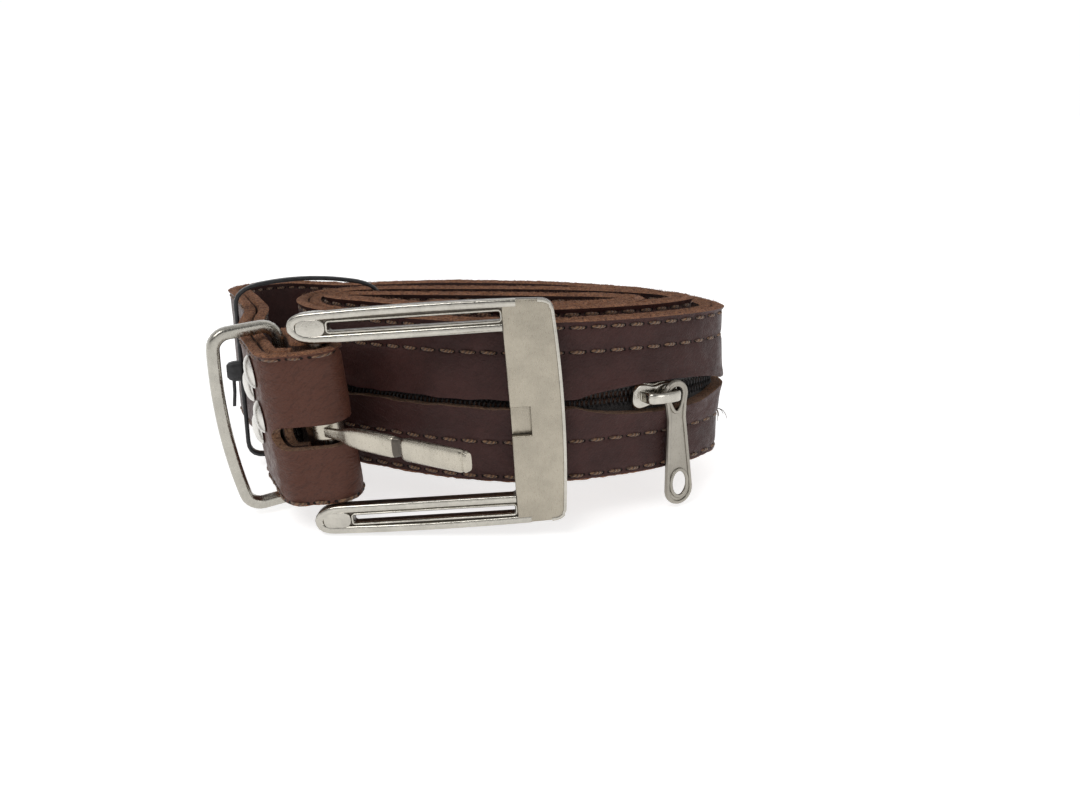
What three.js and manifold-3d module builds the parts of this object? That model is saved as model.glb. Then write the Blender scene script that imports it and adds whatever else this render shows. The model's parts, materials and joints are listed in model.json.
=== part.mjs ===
// A leather money belt, rolled up and standing on its edge.
// Units are millimetres and +Z is up. The strap is drawn flat, as (along, outward, height), and then
// bent along a plan route. The buckle end droops forward, and the whole roll leans back on its rear edge.
import * as THREE from "three";
import { mergeVertices } from "three/addons/utils/BufferGeometryUtils.js";
import Module from "manifold-3d";

const wasm = await Module();
wasm.setup();

const CLEARANCE = 0.4;
const rad = THREE.MathUtils.degToRad;

// ---------------------------------------------------------------- driving sizes
const STRAP_WIDTH = 38;
const MID_HEIGHT = STRAP_WIDTH / 2;
const FOLD_WIDTH = 36.8;           // the strap is pared where it passes through the buckle
const INNER_STRAP = [-2.8, -0.9];  // outward range of each layer, from the strap's middle surface
const ZIP_TAPE = [-0.3, 0.3];
const ZIP_COIL = [-0.55, 0.55];
const OUTER_STRAP = [0.9, 2.8];
const INNER_WRAP_RISE = 2;         // the inner wraps stand a little proud of the outer one

const SLIT = { height: 2.4, mid: 18.8, mouthLength: 44, mouthHeight: 7.4 };
const ZIP = { tapeWidth: 11.5, coilWidth: 1.9 };
const BAR = { x: -26.6, y: -46, radius: 1.75, length: 49 };
const PRONG_DROP = -1.5;           // the prong sits a little below the middle of the bar
const PRONG_SLOT = { half: 3, low: [-36.5, -54], high: [-17, -41] };

// ---------------------------------------------------------------- plan route of the strap
const FOLD_RADIUS = 3.1;
const LEG_START = new THREE.Vector2(-36.5, -48.7);
const LEG_HEADING = new THREE.Vector2(-0.47, 0.883).normalize();
const LEG_OUTWARD = new THREE.Vector2(-LEG_HEADING.y, LEG_HEADING.x);
const FLAP_DISTANCE = 5.7;         // from the leg's middle surface to the flap's, with the keeper between
const FLAP_LENGTH = 19;

function onLeg(along, outward = 0) {
  return LEG_START.clone().addScaledVector(LEG_HEADING, along).addScaledVector(LEG_OUTWARD, outward);
}

// The front run is drawn once. Each further wrap repeats it, one pitch further in.
const FRONT_RUN = [[50, -34], [38, -40], [27, -43.6], [14, -44], [1, -40.9], [-15, -33.2], [-28, -26]];
const WRAP_PITCH = 6.7;

function frontRun(wrap, skipFirst, skipLast) {
  const points = FRONT_RUN.map(([x, y]) => new THREE.Vector2(x, y));
  const moved = points.map((point, i) => {
    const before = points[Math.max(i - 1, 0)];
    const after = points[Math.min(i + 1, points.length - 1)];
    const heading = after.clone().sub(before).normalize();
    return point.clone().addScaledVector(new THREE.Vector2(heading.y, -heading.x), wrap * WRAP_PITCH);
  });
  return moved.slice(skipFirst, moved.length - skipLast);
}

function foldArc() {
  return [90, 60, 30, 0, -30, -60, -90].map((angle) => new THREE.Vector2(
    BAR.x + FOLD_RADIUS * Math.cos(rad(angle)),
    BAR.y + FOLD_RADIUS * Math.sin(rad(angle)),
  ));
}

const planned = (...pairs) => pairs.map(([x, y]) => new THREE.Vector2(x, y));
const planPoints = [
  onLeg(FLAP_LENGTH, -FLAP_DISTANCE),
  onLeg(11, -FLAP_DISTANCE),
  onLeg(3.5, -FLAP_DISTANCE),
  ...planned([-30.4, -43.9]),
  ...foldArc(),
  ...planned([-30.5, -49.2], [-34.6, -49.1], [-36.9, -47.6]),
  onLeg(4),
  onLeg(12),
  onLeg(20),
  // outer wrap: left bulge, back run and right turn
  ...planned([-49.3, -20], [-51.5, -11], [-57.5, -1], [-64.5, 11.5], [-69.5, 24], [-67.5, 36]),
  ...planned([-59.5, 42.5], [-49.5, 39.5], [-40.5, 36.5], [-28, 39.5], [-11, 44.5], [9, 42.8]),
  ...planned([25.3, 39.2], [40, 30], [51, 21], [57, 11.5], [62.5, 0], [66, -12], [65.6, -19], [60, -26.5]),
  ...frontRun(0, 0, 0),
  // second wrap
  ...planned([-35.2, -19.5], [-38.8, -11.5], [-38.4, -3.5], [-33, 3], [-22, 6], [-7, 6.8], [12, 6.5]),
  ...planned([32, 3.5], [47, -2], [56.5, -9.5], [58.4, -16], [54.4, -22]),
  ...frontRun(1, 0, 1),
  // third wrap, ending at the tip
  ...planned([-20.5, -21.6], [-28.5, -16.5], [-31.6, -11.8], [-28.6, -7.8], [-20, -7.4], [-5, -8]),
  ...planned([12, -9.2], [27, -11], [39, -12.6], [45.6, -17], [42.2, -23.4]),
  ...frontRun(2, 1, 2),
  ...planned([-15, -18.2]),
];

const route = new THREE.CatmullRomCurve3(
  planPoints.map((point) => new THREE.Vector3(point.x, point.y, 0)), false, "centripetal",
);
route.arcLengthDivisions = 4000;
const ROUTE_LENGTH = route.getLength();

function plan(along) {
  const u = THREE.MathUtils.clamp(along / ROUTE_LENGTH, 0, 1);
  const point = route.getPointAt(u);
  const heading = route.getTangentAt(u);
  return { point, heading, outward: new THREE.Vector3(-heading.y, heading.x, 0) };
}

// Stations lie close together where the route turns and far apart where it runs straight.
const LONGEST_STEP = 8;
const WIDEST_TURN = rad(15);
const SAME_STOP = 0.05;            // stops nearer than this count as one

function makeStations() {
  const stations = [0];
  let last = plan(0).heading;
  for (let along = 0.5; along < ROUTE_LENGTH - 1; along += 0.5) {
    const { heading } = plan(along);
    if (along - stations.at(-1) > LONGEST_STEP || heading.angleTo(last) > WIDEST_TURN) {
      stations.push(along);
      last = heading;
    }
  }
  stations.push(ROUTE_LENGTH);
  return stations;
}

const STATIONS = makeStations();

// The distance along the route that lies nearest to a plan point, searched between two limits.
function nearestAlong(x, y, from = 0, to = ROUTE_LENGTH) {
  const target = new THREE.Vector3(x, y, 0);
  let best = from;
  for (let along = from; along <= to; along += 0.5) {
    if (plan(along).point.distanceTo(target) < plan(best).point.distanceTo(target)) {
      best = along;
    }
  }
  return best;
}

const CORNER = nearestAlong(LEG_START.x, LEG_START.y, 0, 60);
const BAR_FRONT = nearestAlong(BAR.x, BAR.y - FOLD_RADIUS, 0, 60);
const LEG_LENGTH = 24;
const LEG_END = CORNER + LEG_LENGTH;
const BULGE = nearestAlong(-64.5, 11.5, CORNER, 150);
const RIGHT_TURN = nearestAlong(66, -12, 200, 400);
const SLIDER_AT = nearestAlong(46.4, -35.8, RIGHT_TURN, RIGHT_TURN + 80);
const LEFT_TURN = nearestAlong(-38.8, -11.5, SLIDER_AT, SLIDER_AT + 160);
const ZIP_START = RIGHT_TURN - 6;  // the slit starts just before the right turn
const ZIP_END = nearestAlong(47, -2, LEFT_TURN, LEFT_TURN + 140);

// ---------------------------------------------------------------- droop of the buckle end
const DROOP = { pitch: rad(6.5), roll: rad(-4.5), pivot: new THREE.Vector3(-45, 6, MID_HEIGHT) };

function droopMatrix(share) {
  const { pitch, roll, pivot } = DROOP;
  const turn = new THREE.Matrix4().makeRotationX(pitch * share);
  turn.multiply(new THREE.Matrix4().makeRotationY(roll * share));
  const matrix = new THREE.Matrix4().makeTranslation(pivot.x, pivot.y, pivot.z);
  matrix.multiply(turn);
  return matrix.multiply(new THREE.Matrix4().makeTranslation(-pivot.x, -pivot.y, -pivot.z));
}

const smoothstep = THREE.MathUtils.smoothstep;
const droopShare = (along) => 1 - smoothstep(along, LEG_END, BULGE);
const wrapRise = (along) => INNER_WRAP_RISE * smoothstep(along, LEFT_TURN - 25, LEFT_TURN + 25);

function bend(along, outward, height) {
  const station = plan(along);
  const spot = station.point.clone().addScaledVector(station.outward, outward);
  spot.z = height + wrapRise(along);
  return along < BULGE ? spot.applyMatrix4(droopMatrix(droopShare(along))) : spot;
}

// ---------------------------------------------------------------- solids
const clean = (geometry) => {
  geometry.deleteAttribute("normal");
  geometry.deleteAttribute("uv");
  return mergeVertices(geometry, 1e-4);
};

function toManifold(geometry) {
  const merged = clean(geometry.clone());
  return new wasm.Manifold(new wasm.Mesh({
    numProp: 3,
    vertProperties: new Float32Array(merged.attributes.position.array),
    triVerts: new Uint32Array(merged.index.array),
  }));
}

function toGeometry(manifold) {
  const mesh = manifold.getMesh();
  const geometry = new THREE.BufferGeometry();
  geometry.setAttribute("position", new THREE.BufferAttribute(mesh.vertProperties, 3));
  geometry.setIndex(new THREE.BufferAttribute(mesh.triVerts, 1));
  geometry.computeVertexNormals();
  return geometry;
}

const union = (first, ...others) => toGeometry(
  others.reduce((solid, other) => solid.add(toManifold(other)), toManifold(first)),
);
const cut = (body, ...tools) => toGeometry(
  tools.reduce((solid, tool) => solid.subtract(toManifold(tool)), toManifold(body)),
);

const always = (value) => (typeof value === "function" ? value : () => value);

// A strip of the strap, between two distances along it, two outward offsets and two heights.
function ribbon(start, end, [inner, outer], low, high, closest = LONGEST_STEP) {
  const stops = [start];
  for (const station of STATIONS) {
    while (station - stops.at(-1) > closest && stops.at(-1) + closest < end) {
      stops.push(stops.at(-1) + closest);
    }
    if (station > stops.at(-1) + SAME_STOP && station < end - SAME_STOP) {
      stops.push(station);
    }
  }
  stops.push(end);
  const geometry = new THREE.BoxGeometry(1, 1, 1, stops.length - 1, 1, 1);
  const spots = geometry.attributes.position;
  for (let i = 0; i < spots.count; i += 1) {
    const along = stops[Math.round((spots.getX(i) + 0.5) * (stops.length - 1))];
    const outward = spots.getY(i) > 0 ? outer : inner;
    const height = spots.getZ(i) > 0 ? always(high)(along) : always(low)(along);
    const spot = bend(along, outward, height);
    spots.setXYZ(i, spot.x, spot.y, spot.z);
  }
  return geometry;
}

// A cylinder along any axis, given by its two end points.
function rod(from, to, radius, sides = 24) {
  const axis = to.clone().sub(from);
  const geometry = new THREE.CylinderGeometry(radius, radius, axis.length(), sides);
  const turn = new THREE.Quaternion().setFromUnitVectors(new THREE.Vector3(0, 1, 0), axis.normalize());
  geometry.applyQuaternion(turn);
  return geometry.translate(...from.clone().add(to).multiplyScalar(0.5).toArray());
}

function box(low, high) {
  const size = high.map((value, i) => value - low[i]);
  const middle = high.map((value, i) => (value + low[i]) / 2);
  return new THREE.BoxGeometry(...size).translate(...middle);
}

function roundedRectangle(left, bottom, right, top, radius) {
  const shape = new THREE.Shape();
  shape.absarc(right - radius, top - radius, radius, 0, Math.PI / 2);
  shape.absarc(left + radius, top - radius, radius, Math.PI / 2, Math.PI);
  shape.absarc(left + radius, bottom + radius, radius, Math.PI, Math.PI * 1.5);
  shape.absarc(right - radius, bottom + radius, radius, Math.PI * 1.5, Math.PI * 2);
  shape.closePath();
  return shape;
}

// Extrudes an outline drawn in local X and Z along local Y, from yFront towards yBack.
function plate(shape, yFront, yBack, curveSegments = 8) {
  const settings = { depth: yBack - yFront, bevelEnabled: false, curveSegments };
  const geometry = new THREE.ExtrudeGeometry(shape, settings);
  return geometry.rotateX(Math.PI / 2).translate(0, yBack, 0);
}

// ---------------------------------------------------------------- materials
const finishes = {
  leather: { color: 0x4a302c, roughness: 0.55, metalness: 0 },
  lining: { color: 0x3b2526, roughness: 0.6, metalness: 0 },
  nickel: { color: 0xc9c3b4, roughness: 0.3, metalness: 1 },
  tape: { color: 0x141312, roughness: 0.95, metalness: 0 },
  coil: { color: 0x1b1a19, roughness: 0.5, metalness: 0 },
  nylon: { color: 0x0c0c0c, roughness: 0.4, metalness: 0 },
};

function piece(name, finish, geometry) {
  const mesh = new THREE.Mesh(geometry, new THREE.MeshStandardMaterial(finishes[finish]));
  mesh.name = name;
  return mesh;
}

// ---------------------------------------------------------------- strap
const foldShare = (along) => 1 - smoothstep(along, CORNER, LEG_END);
const pared = (along) => ((STRAP_WIDTH - FOLD_WIDTH) / 2) * foldShare(along);
const strapLow = (along) => pared(along);
const strapHigh = (along) => STRAP_WIDTH - pared(along);

const RIVETS = [
  { name: "front_upper", along: 7.6, height: 31.5 },
  { name: "front_lower", along: 7.6, height: 20.5 },
  { name: "rear_upper", along: 15.6, height: 26 },
  { name: "rear_lower", along: 15.6, height: 15 },
];
const RIVET = { capRadius: 4.7, dome: 1.5, postRadius: 1.5, backRadius: 3.2, backThickness: 0.9, seat: 0.3 };
const LEG_FACE = OUTER_STRAP[1];
const FLAP_FACE = -(FLAP_DISTANCE + OUTER_STRAP[1]);

function legPoint(along, outward, height) {
  const spot = onLeg(along, outward);
  return new THREE.Vector3(spot.x, spot.y, height);
}

const inDroop = (geometry) => geometry.applyMatrix4(droopMatrix(1));

function rivetHoles() {
  return RIVETS.map(({ along, height }) => inDroop(rod(
    legPoint(along, LEG_FACE + 3, height),
    legPoint(along, FLAP_FACE - 3, height),
    RIVET.postRadius + CLEARANCE,
    16,
  )));
}

function prongSlot() {
  const { half, low, high } = PRONG_SLOT;
  const height = MID_HEIGHT + PRONG_DROP;
  return inDroop(box([...low, height - half], [...high, height + half]));
}

const HOLE = { count: 5, spacing: 25, radius: 2.4, fromTip: 26 };
const TIP_LENGTH = 14;

// Buckle holes near the tip, square to the strap there.
function tipHoles() {
  return Array.from({ length: HOLE.count }, (_, i) => {
    const along = ROUTE_LENGTH - HOLE.fromTip - i * HOLE.spacing;
    return rod(bend(along, -3.2, MID_HEIGHT), bend(along, 3.2, MID_HEIGHT), HOLE.radius, 12);
  });
}

// The strap narrows to a rounded point at its tip.
function tipInset(along) {
  const intoTip = Math.max(0, along - (ROUTE_LENGTH - TIP_LENGTH)) / TIP_LENGTH;
  return 0.72 * MID_HEIGHT * (1 - Math.sqrt(1 - intoTip * intoTip));
}

const widthLow = (along) => strapLow(along) + tipInset(along);
const widthHigh = (along) => strapHigh(along) - tipInset(along);

// The slit over the zip opens into a mouth around the slider.
function slitHalf(along) {
  const intoMouth = (along - SLIDER_AT + 3) / (SLIT.mouthLength / 2);
  const mouth = Math.sqrt(Math.max(0, 1 - intoMouth * intoMouth)) * SLIT.mouthHeight / 2;
  return Math.max(SLIT.height / 2, mouth);
}

function outerStrap() {
  const body = ribbon(0, ROUTE_LENGTH, OUTER_STRAP, widthLow, widthHigh, 6);
  const slit = ribbon(
    ZIP_START, ZIP_END, [OUTER_STRAP[0] - 0.15, OUTER_STRAP[1] + 0.5],
    (along) => SLIT.mid - slitHalf(along), (along) => SLIT.mid + slitHalf(along), 3,
  );
  return cut(body, slit, prongSlot(), ...rivetHoles(), ...tipHoles());
}

function innerStrap() {
  const body = ribbon(BAR_FRONT + 4.5, ROUTE_LENGTH, INNER_STRAP, widthLow, widthHigh);
  return cut(body, prongSlot(), ...rivetHoles(), ...tipHoles());
}

// ---------------------------------------------------------------- zip
function zipTapes() {
  const coilReach = ZIP.coilWidth + 0.2 + CLEARANCE;
  const { mid } = SLIT;
  const upper = ribbon(ZIP_START - 8, ZIP_END + 8, ZIP_TAPE, mid + coilReach, mid + ZIP.tapeWidth);
  const lower = ribbon(ZIP_START - 8, ZIP_END + 8, ZIP_TAPE, mid - ZIP.tapeWidth, mid - coilReach);
  return [piece("zip_tape_upper", "tape", upper), piece("zip_tape_lower", "tape", lower)];
}

function zipCoils() {
  const { mid } = SLIT;
  const reach = ZIP.coilWidth + 0.2;
  const upper = ribbon(ZIP_START + 3, ZIP_END - 3, ZIP_COIL, mid + 0.2, mid + reach);
  const lower = ribbon(ZIP_START + 3, ZIP_END - 3, ZIP_COIL, mid - reach, mid - 0.2);
  return [piece("zip_coil_upper", "coil", upper), piece("zip_coil_lower", "coil", lower)];
}

function zipStops() {
  const { mid } = SLIT;
  const top = (low, high) => ribbon(ZIP_START - 1, ZIP_START + 2.5, ZIP_COIL, low, high);
  const bottom = ribbon(ZIP_END - 2.5, ZIP_END + 1, ZIP_COIL, mid - 2.1, mid + 2.1);
  return [
    piece("zip_top_stop_upper", "nickel", top(mid + 0.2, mid + 2.1)),
    piece("zip_top_stop_lower", "nickel", top(mid - 2.1, mid - 0.2)),
    piece("zip_bottom_stop", "nickel", bottom),
  ];
}

// The slider's own frame: X along the strap towards the closed side, Y outward from the strap's middle.
const sliderPlan = plan(SLIDER_AT);
const sliderFrame = new THREE.Matrix4().makeBasis(
  sliderPlan.heading, sliderPlan.outward, new THREE.Vector3(0, 0, 1),
).setPosition(sliderPlan.point.x, sliderPlan.point.y, SLIT.mid);
const onSlider = (geometry) => geometry.applyMatrix4(sliderFrame);

const SLIDER = { from: -8.2, to: 4.2, low: 1.0, high: 2.6, halfHeight: 2.9 };
const CROWN = { from: -7.4, to: 2.2, low: SLIDER.high + CLEARANCE, gap: 2.3, bar: 1.4, halfWidth: 1.3 };

// The slider's top plate, rounded at both ends.
function sliderBody() {
  const { from, to, low, high, halfHeight } = SLIDER;
  const shape = roundedRectangle(from, -halfHeight, to, halfHeight, 2.2);
  const settings = { depth: high - low, bevelEnabled: false, curveSegments: 6 };
  const top = new THREE.ExtrudeGeometry(shape, settings).rotateX(Math.PI / 2).translate(0, high, 0);
  return piece("zip_slider_body", "nickel", onSlider(top));
}

// The crown is a low arch that stands on the slider and holds the puller.
function sliderCrown() {
  const { from, to, low, gap, bar, halfWidth } = CROWN;
  const arch = new THREE.Shape();
  arch.moveTo(to, low);
  arch.lineTo(to, low + gap);
  arch.quadraticCurveTo(to, low + gap + bar, to - bar, low + gap + bar);
  arch.lineTo(from + bar, low + gap + bar);
  arch.quadraticCurveTo(from, low + gap + bar, from, low + gap);
  arch.lineTo(from, low);
  arch.lineTo(from + bar, low);
  arch.lineTo(from + bar, low + gap);
  arch.lineTo(to - bar, low + gap);
  arch.lineTo(to - bar, low);
  arch.closePath();
  const settings = { depth: 2 * halfWidth, bevelEnabled: false, curveSegments: 6 };
  const geometry = new THREE.ExtrudeGeometry(arch, settings).translate(0, 0, -halfWidth);
  return piece("zip_slider_crown", "nickel", onSlider(geometry));
}

const PULLER = {
  length: 31.8, topWidth: 5.2, bottomWidth: 8, thickness: 1.2, lean: 5,
  eyeRadius: 2.2, eyeLength: 4.6, fingerHalf: [2.4, 3.4], fingerFromEnd: 5.6,
};

// The puller's flat outline hangs down from the origin, which is the middle of its eye.
function pullerOutline() {
  const { length, topWidth, bottomWidth } = PULLER;
  const top = topWidth / 2 + 0.9;
  const shape = new THREE.Shape();
  shape.absarc(0, 0, top, 0, Math.PI);
  shape.lineTo(-topWidth / 2, -8);
  shape.lineTo(-bottomWidth / 2, top - length + bottomWidth / 2);
  shape.absarc(0, top - length + bottomWidth / 2, bottomWidth / 2, Math.PI, Math.PI * 2);
  shape.lineTo(topWidth / 2, -8);
  shape.closePath();
  const eye = new THREE.Path();
  eye.absarc(0, 0, PULLER.eyeRadius, 0, Math.PI);
  eye.absarc(0, -PULLER.eyeLength + 2, PULLER.eyeRadius - 0.6, Math.PI, Math.PI * 2);
  const finger = new THREE.Path();
  const [halfWidth, halfHeight] = PULLER.fingerHalf;
  finger.absellipse(0, top - length + PULLER.fingerFromEnd, halfWidth, halfHeight, 0, Math.PI * 2);
  shape.holes.push(eye, finger);
  return shape;
}

// The crown's rear foot passes through the eye, so the puller lies between the crown and the slider.
function pullerPiece() {
  const { thickness, lean } = PULLER;
  const settings = { depth: thickness, bevelEnabled: false, curveSegments: 10 };
  const flat = new THREE.ExtrudeGeometry(pullerOutline(), settings).rotateZ(rad(lean));
  const facingOut = new THREE.Matrix4().makeBasis(
    new THREE.Vector3(-1, 0, 0), new THREE.Vector3(0, 0, 1), new THREE.Vector3(0, 1, 0),
  );
  facingOut.setPosition(CROWN.from + CROWN.bar / 2, CROWN.low + (CROWN.gap - thickness) / 2, 0);
  return piece("zip_puller", "nickel", onSlider(flat.applyMatrix4(facingOut)));
}

// ---------------------------------------------------------------- buckle
const FRAME = {
  left: -5, inner: 42.2, right: 53.4, bow: 0.9, halfHeight: 25.6, halfOpening: 18.9,
  front: -5, back: -1.8, bossRadius: 3.4,
};
const frameTurn = new THREE.Euler(rad(-5.5), rad(0.6), 0);

function frameOutline() {
  const { left, inner, right, bow, halfHeight, halfOpening } = FRAME;
  const corner = 3.5;
  const armMiddle = (left + right) / 2;
  const arch = 0.6;
  const shape = new THREE.Shape();
  shape.moveTo(left + 3, halfHeight);
  shape.quadraticCurveTo(armMiddle, halfHeight + arch, right - corner, halfHeight);
  shape.quadraticCurveTo(right, halfHeight, right, halfHeight - corner);
  shape.quadraticCurveTo(right + 2 * bow, 0, right, -halfHeight + corner);
  shape.quadraticCurveTo(right, -halfHeight, right - corner, -halfHeight);
  shape.quadraticCurveTo(armMiddle, -halfHeight - arch, left + 3, -halfHeight);
  shape.absarc(left + 3, -halfHeight + 3, 3, -Math.PI / 2, -Math.PI, true);
  shape.quadraticCurveTo(left + 1, -halfOpening, left + 5, -halfOpening);
  shape.lineTo(inner - 1.5, -halfOpening);
  shape.absarc(inner - 1.5, -halfOpening + 1.5, 1.5, -Math.PI / 2, 0);
  shape.lineTo(inner, halfOpening - 1.5);
  shape.absarc(inner - 1.5, halfOpening - 1.5, 1.5, 0, Math.PI / 2);
  shape.lineTo(left + 5, halfOpening);
  shape.quadraticCurveTo(left + 1, halfOpening, left, halfHeight - 3);
  shape.absarc(left + 3, halfHeight - 3, 3, Math.PI, Math.PI / 2, true);
  for (const side of [1, -1]) {
    const middle = side * (halfOpening + halfHeight + 0.3) / 2;
    shape.holes.push(roundedRectangle(5, middle - 1, inner - 1, middle + 1, 0.9));
  }
  return shape;
}

function buckleFrame() {
  const { front, back, inner, halfHeight, halfOpening, bossRadius } = FRAME;
  const bosses = [1, -1].map((side) => rod(
    new THREE.Vector3(0, 0, side * halfOpening), new THREE.Vector3(0, 0, side * halfHeight), bossRadius,
  ));
  const body = union(plate(frameOutline(), front, back), ...bosses);
  const notch = box([inner - 1, front - 1, PRONG_DROP - 3.1], [inner + 5, front + 1.7, PRONG_DROP + 3.1]);
  const bore = rod(
    new THREE.Vector3(0, 0, -halfHeight - 2), new THREE.Vector3(0, 0, halfHeight + 2), BAR.radius + CLEARANCE,
  );
  return piece("buckle_frame", "nickel", cut(body, notch, bore));
}

function buckleBar() {
  const end = new THREE.Vector3(0, 0, BAR.length / 2);
  return piece("buckle_bar", "nickel", rod(end.clone().negate(), end, BAR.radius));
}

const PRONG = { barrel: 3.5, halfBarrel: 2.05, length: 46.4, neck: 8.5, neckHalf: 1.9, half: 2.6, open: -35 };

// The tongue seen from the front, from the barrel to its square tip.
function prongOutline() {
  const { neck, neckHalf, half, length } = PRONG;
  const shape = new THREE.Shape();
  shape.moveTo(2.6, -neckHalf);
  shape.lineTo(neck, -neckHalf);
  shape.quadraticCurveTo(neck + 3, -half, neck + 8, -half);
  shape.lineTo(length - 1, -half + 0.4);
  shape.lineTo(length, -half + 1.2);
  shape.lineTo(length, half - 1.2);
  shape.lineTo(length - 1, half - 0.4);
  shape.lineTo(neck + 8, half);
  shape.quadraticCurveTo(neck + 3, half, neck, neckHalf);
  shape.lineTo(2.6, neckHalf);
  shape.closePath();
  return shape;
}

function buckleProng() {
  const { barrel, halfBarrel } = PRONG;
  const tongue = plate(prongOutline(), -3.4, -1.1).rotateZ(rad(-3));
  const ring = rod(new THREE.Vector3(0, 0, -halfBarrel), new THREE.Vector3(0, 0, halfBarrel), barrel);
  const bore = rod(new THREE.Vector3(0, 0, -5), new THREE.Vector3(0, 0, 5), BAR.radius + CLEARANCE);
  const mesh = piece("buckle_prong", "nickel", cut(union(tongue, ring), bore));
  mesh.position.z = PRONG_DROP;
  mesh.rotation.z = rad(PRONG.open);
  return mesh;
}

function buckleGroup() {
  const group = new THREE.Group();
  group.position.set(BAR.x, BAR.y, MID_HEIGHT);
  group.rotation.copy(frameTurn);
  group.add(buckleFrame(), buckleBar(), buckleProng());
  return group;
}

// ---------------------------------------------------------------- keeper
const KEEPER = { along: 11.6, inner: -6.2, outer: 10.6, halfHeight: 22.9, bar: 3, width: 3.4, radius: 3.6 };

function keeperRing() {
  const { inner, outer, halfHeight, bar, width, radius, along } = KEEPER;
  const shape = roundedRectangle(inner, -halfHeight, outer, halfHeight, radius);
  const opening = roundedRectangle(inner + bar, -halfHeight + bar, outer - bar, halfHeight - bar, radius - 2.4);
  shape.holes.push(opening);
  const settings = { depth: width, bevelEnabled: false, curveSegments: 6 };
  const geometry = new THREE.ExtrudeGeometry(shape, settings).translate(0, 0, -width / 2);
  const outward = new THREE.Vector3(LEG_OUTWARD.x, LEG_OUTWARD.y, 0);
  const up = new THREE.Vector3(0, 0, 1);
  const frame = new THREE.Matrix4().makeBasis(outward, up, outward.clone().cross(up));
  frame.setPosition(legPoint(along, 0, MID_HEIGHT));
  return piece("keeper_ring", "nickel", geometry.applyMatrix4(frame));
}

// ---------------------------------------------------------------- rivets
function rivetCap({ along, height }) {
  const { capRadius, dome, postRadius, backThickness, seat } = RIVET;
  const start = LEG_FACE + seat;
  const reach = start - FLAP_FACE + seat + backThickness - 0.2;
  const profile = [[0, dome], [capRadius * 0.55, dome * 0.82], [capRadius * 0.88, dome * 0.42]];
  profile.push([capRadius, 0.1], [capRadius, 0], [postRadius, 0], [postRadius, -reach], [0, -reach]);
  const points = profile.map(([x, y]) => new THREE.Vector2(x, y)).reverse();
  const geometry = new THREE.LatheGeometry(points, 24);
  return placeOnLeg(geometry, along, start, height);
}

function rivetBack({ along, height }) {
  const { backRadius, backThickness, postRadius, seat } = RIVET;
  const bore = postRadius + seat;
  const profile = [[bore, 0], [backRadius, 0], [backRadius, -backThickness], [bore, -backThickness], [bore, 0]];
  const points = profile.map(([x, y]) => new THREE.Vector2(x, y)).reverse();
  const geometry = new THREE.LatheGeometry(points, 24);
  return placeOnLeg(geometry, along, FLAP_FACE - seat, height);
}

// Turns a lathe axis from +Y to the leg's outward direction and sets it down on the leg.
function placeOnLeg(geometry, along, outward, height) {
  const direction = new THREE.Vector3(LEG_OUTWARD.x, LEG_OUTWARD.y, 0);
  const turn = new THREE.Quaternion().setFromUnitVectors(new THREE.Vector3(0, 1, 0), direction);
  return geometry.applyQuaternion(turn).translate(...legPoint(along, outward, height).toArray());
}

function rivets() {
  return RIVETS.flatMap((rivet) => [
    piece(`rivet_cap_${rivet.name}`, "nickel", rivetCap(rivet)),
    piece(`rivet_back_${rivet.name}`, "nickel", rivetBack(rivet)),
  ]);
}

// ---------------------------------------------------------------- cable tie
const TIE = {
  from: new THREE.Vector2(-58, -13.4), to: new THREE.Vector2(-21.6, -0.8),
  low: -4.4, high: 41.6, crown: 2.2, thickness: 1.1, width: 2.8,
  head: [4.6, 5.4, 3.8], headLow: 17, tail: 7,
};

function cableTie() {
  const { from, to, low, high, crown, thickness, width, head, headLow, tail } = TIE;
  const span = to.clone().sub(from);
  const length = span.length();
  const outline = (inset) => {
    const shape = new THREE.Shape();
    const right = length - inset;
    const top = high - inset;
    shape.moveTo(inset + 4, low + inset);
    shape.lineTo(right - 4, low + inset);
    shape.quadraticCurveTo(right, low + inset, right, low + inset + 4);
    shape.lineTo(right, top - 4);
    shape.quadraticCurveTo(right, top, right - 6, top + crown * 0.6);
    shape.quadraticCurveTo(length / 2, top + 1.7 * crown, inset + 6, top + crown * 0.6);
    shape.quadraticCurveTo(inset, top, inset, top - 4);
    shape.lineTo(inset, low + inset + 4);
    shape.quadraticCurveTo(inset, low + inset, inset + 4, low + inset);
    return shape;
  };
  const ring = outline(0);
  ring.holes.push(outline(thickness));
  const settings = { depth: width, bevelEnabled: false, curveSegments: 8 };
  const band = new THREE.ExtrudeGeometry(ring, settings).translate(0, 0, -width / 2);
  const [headDeep, headTall, headWide] = head;
  const block = box([-headDeep, headLow, -headWide / 2], [thickness / 2, headLow + headTall, headWide / 2]);
  const stubMiddle = -headDeep / 2;
  const stub = box(
    [stubMiddle - thickness / 2, headLow - tail, -width / 2],
    [stubMiddle + thickness / 2, headLow + 1, width / 2],
  );
  const across = new THREE.Vector3(span.x, span.y, 0).normalize();
  const up = new THREE.Vector3(0, 0, 1);
  const frame = new THREE.Matrix4().makeBasis(across, up, across.clone().cross(up));
  frame.setPosition(from.x, from.y, 0);
  return piece("cable_tie", "nylon", union(band, block, stub).applyMatrix4(frame));
}

// ---------------------------------------------------------------- assembly
const LEAN = rad(-7);

const buckleEnd = new THREE.Group();
buckleEnd.applyMatrix4(droopMatrix(1));
buckleEnd.add(buckleGroup(), keeperRing(), ...rivets());

const roll = new THREE.Group();
roll.add(
  piece("outer_strap", "leather", outerStrap()),
  piece("inner_strap", "lining", innerStrap()),
  ...zipTapes(),
  ...zipCoils(),
  ...zipStops(),
  sliderBody(),
  sliderCrown(),
  pullerPiece(),
  cableTie(),
  buckleEnd,
);
roll.rotation.x = LEAN;

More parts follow.
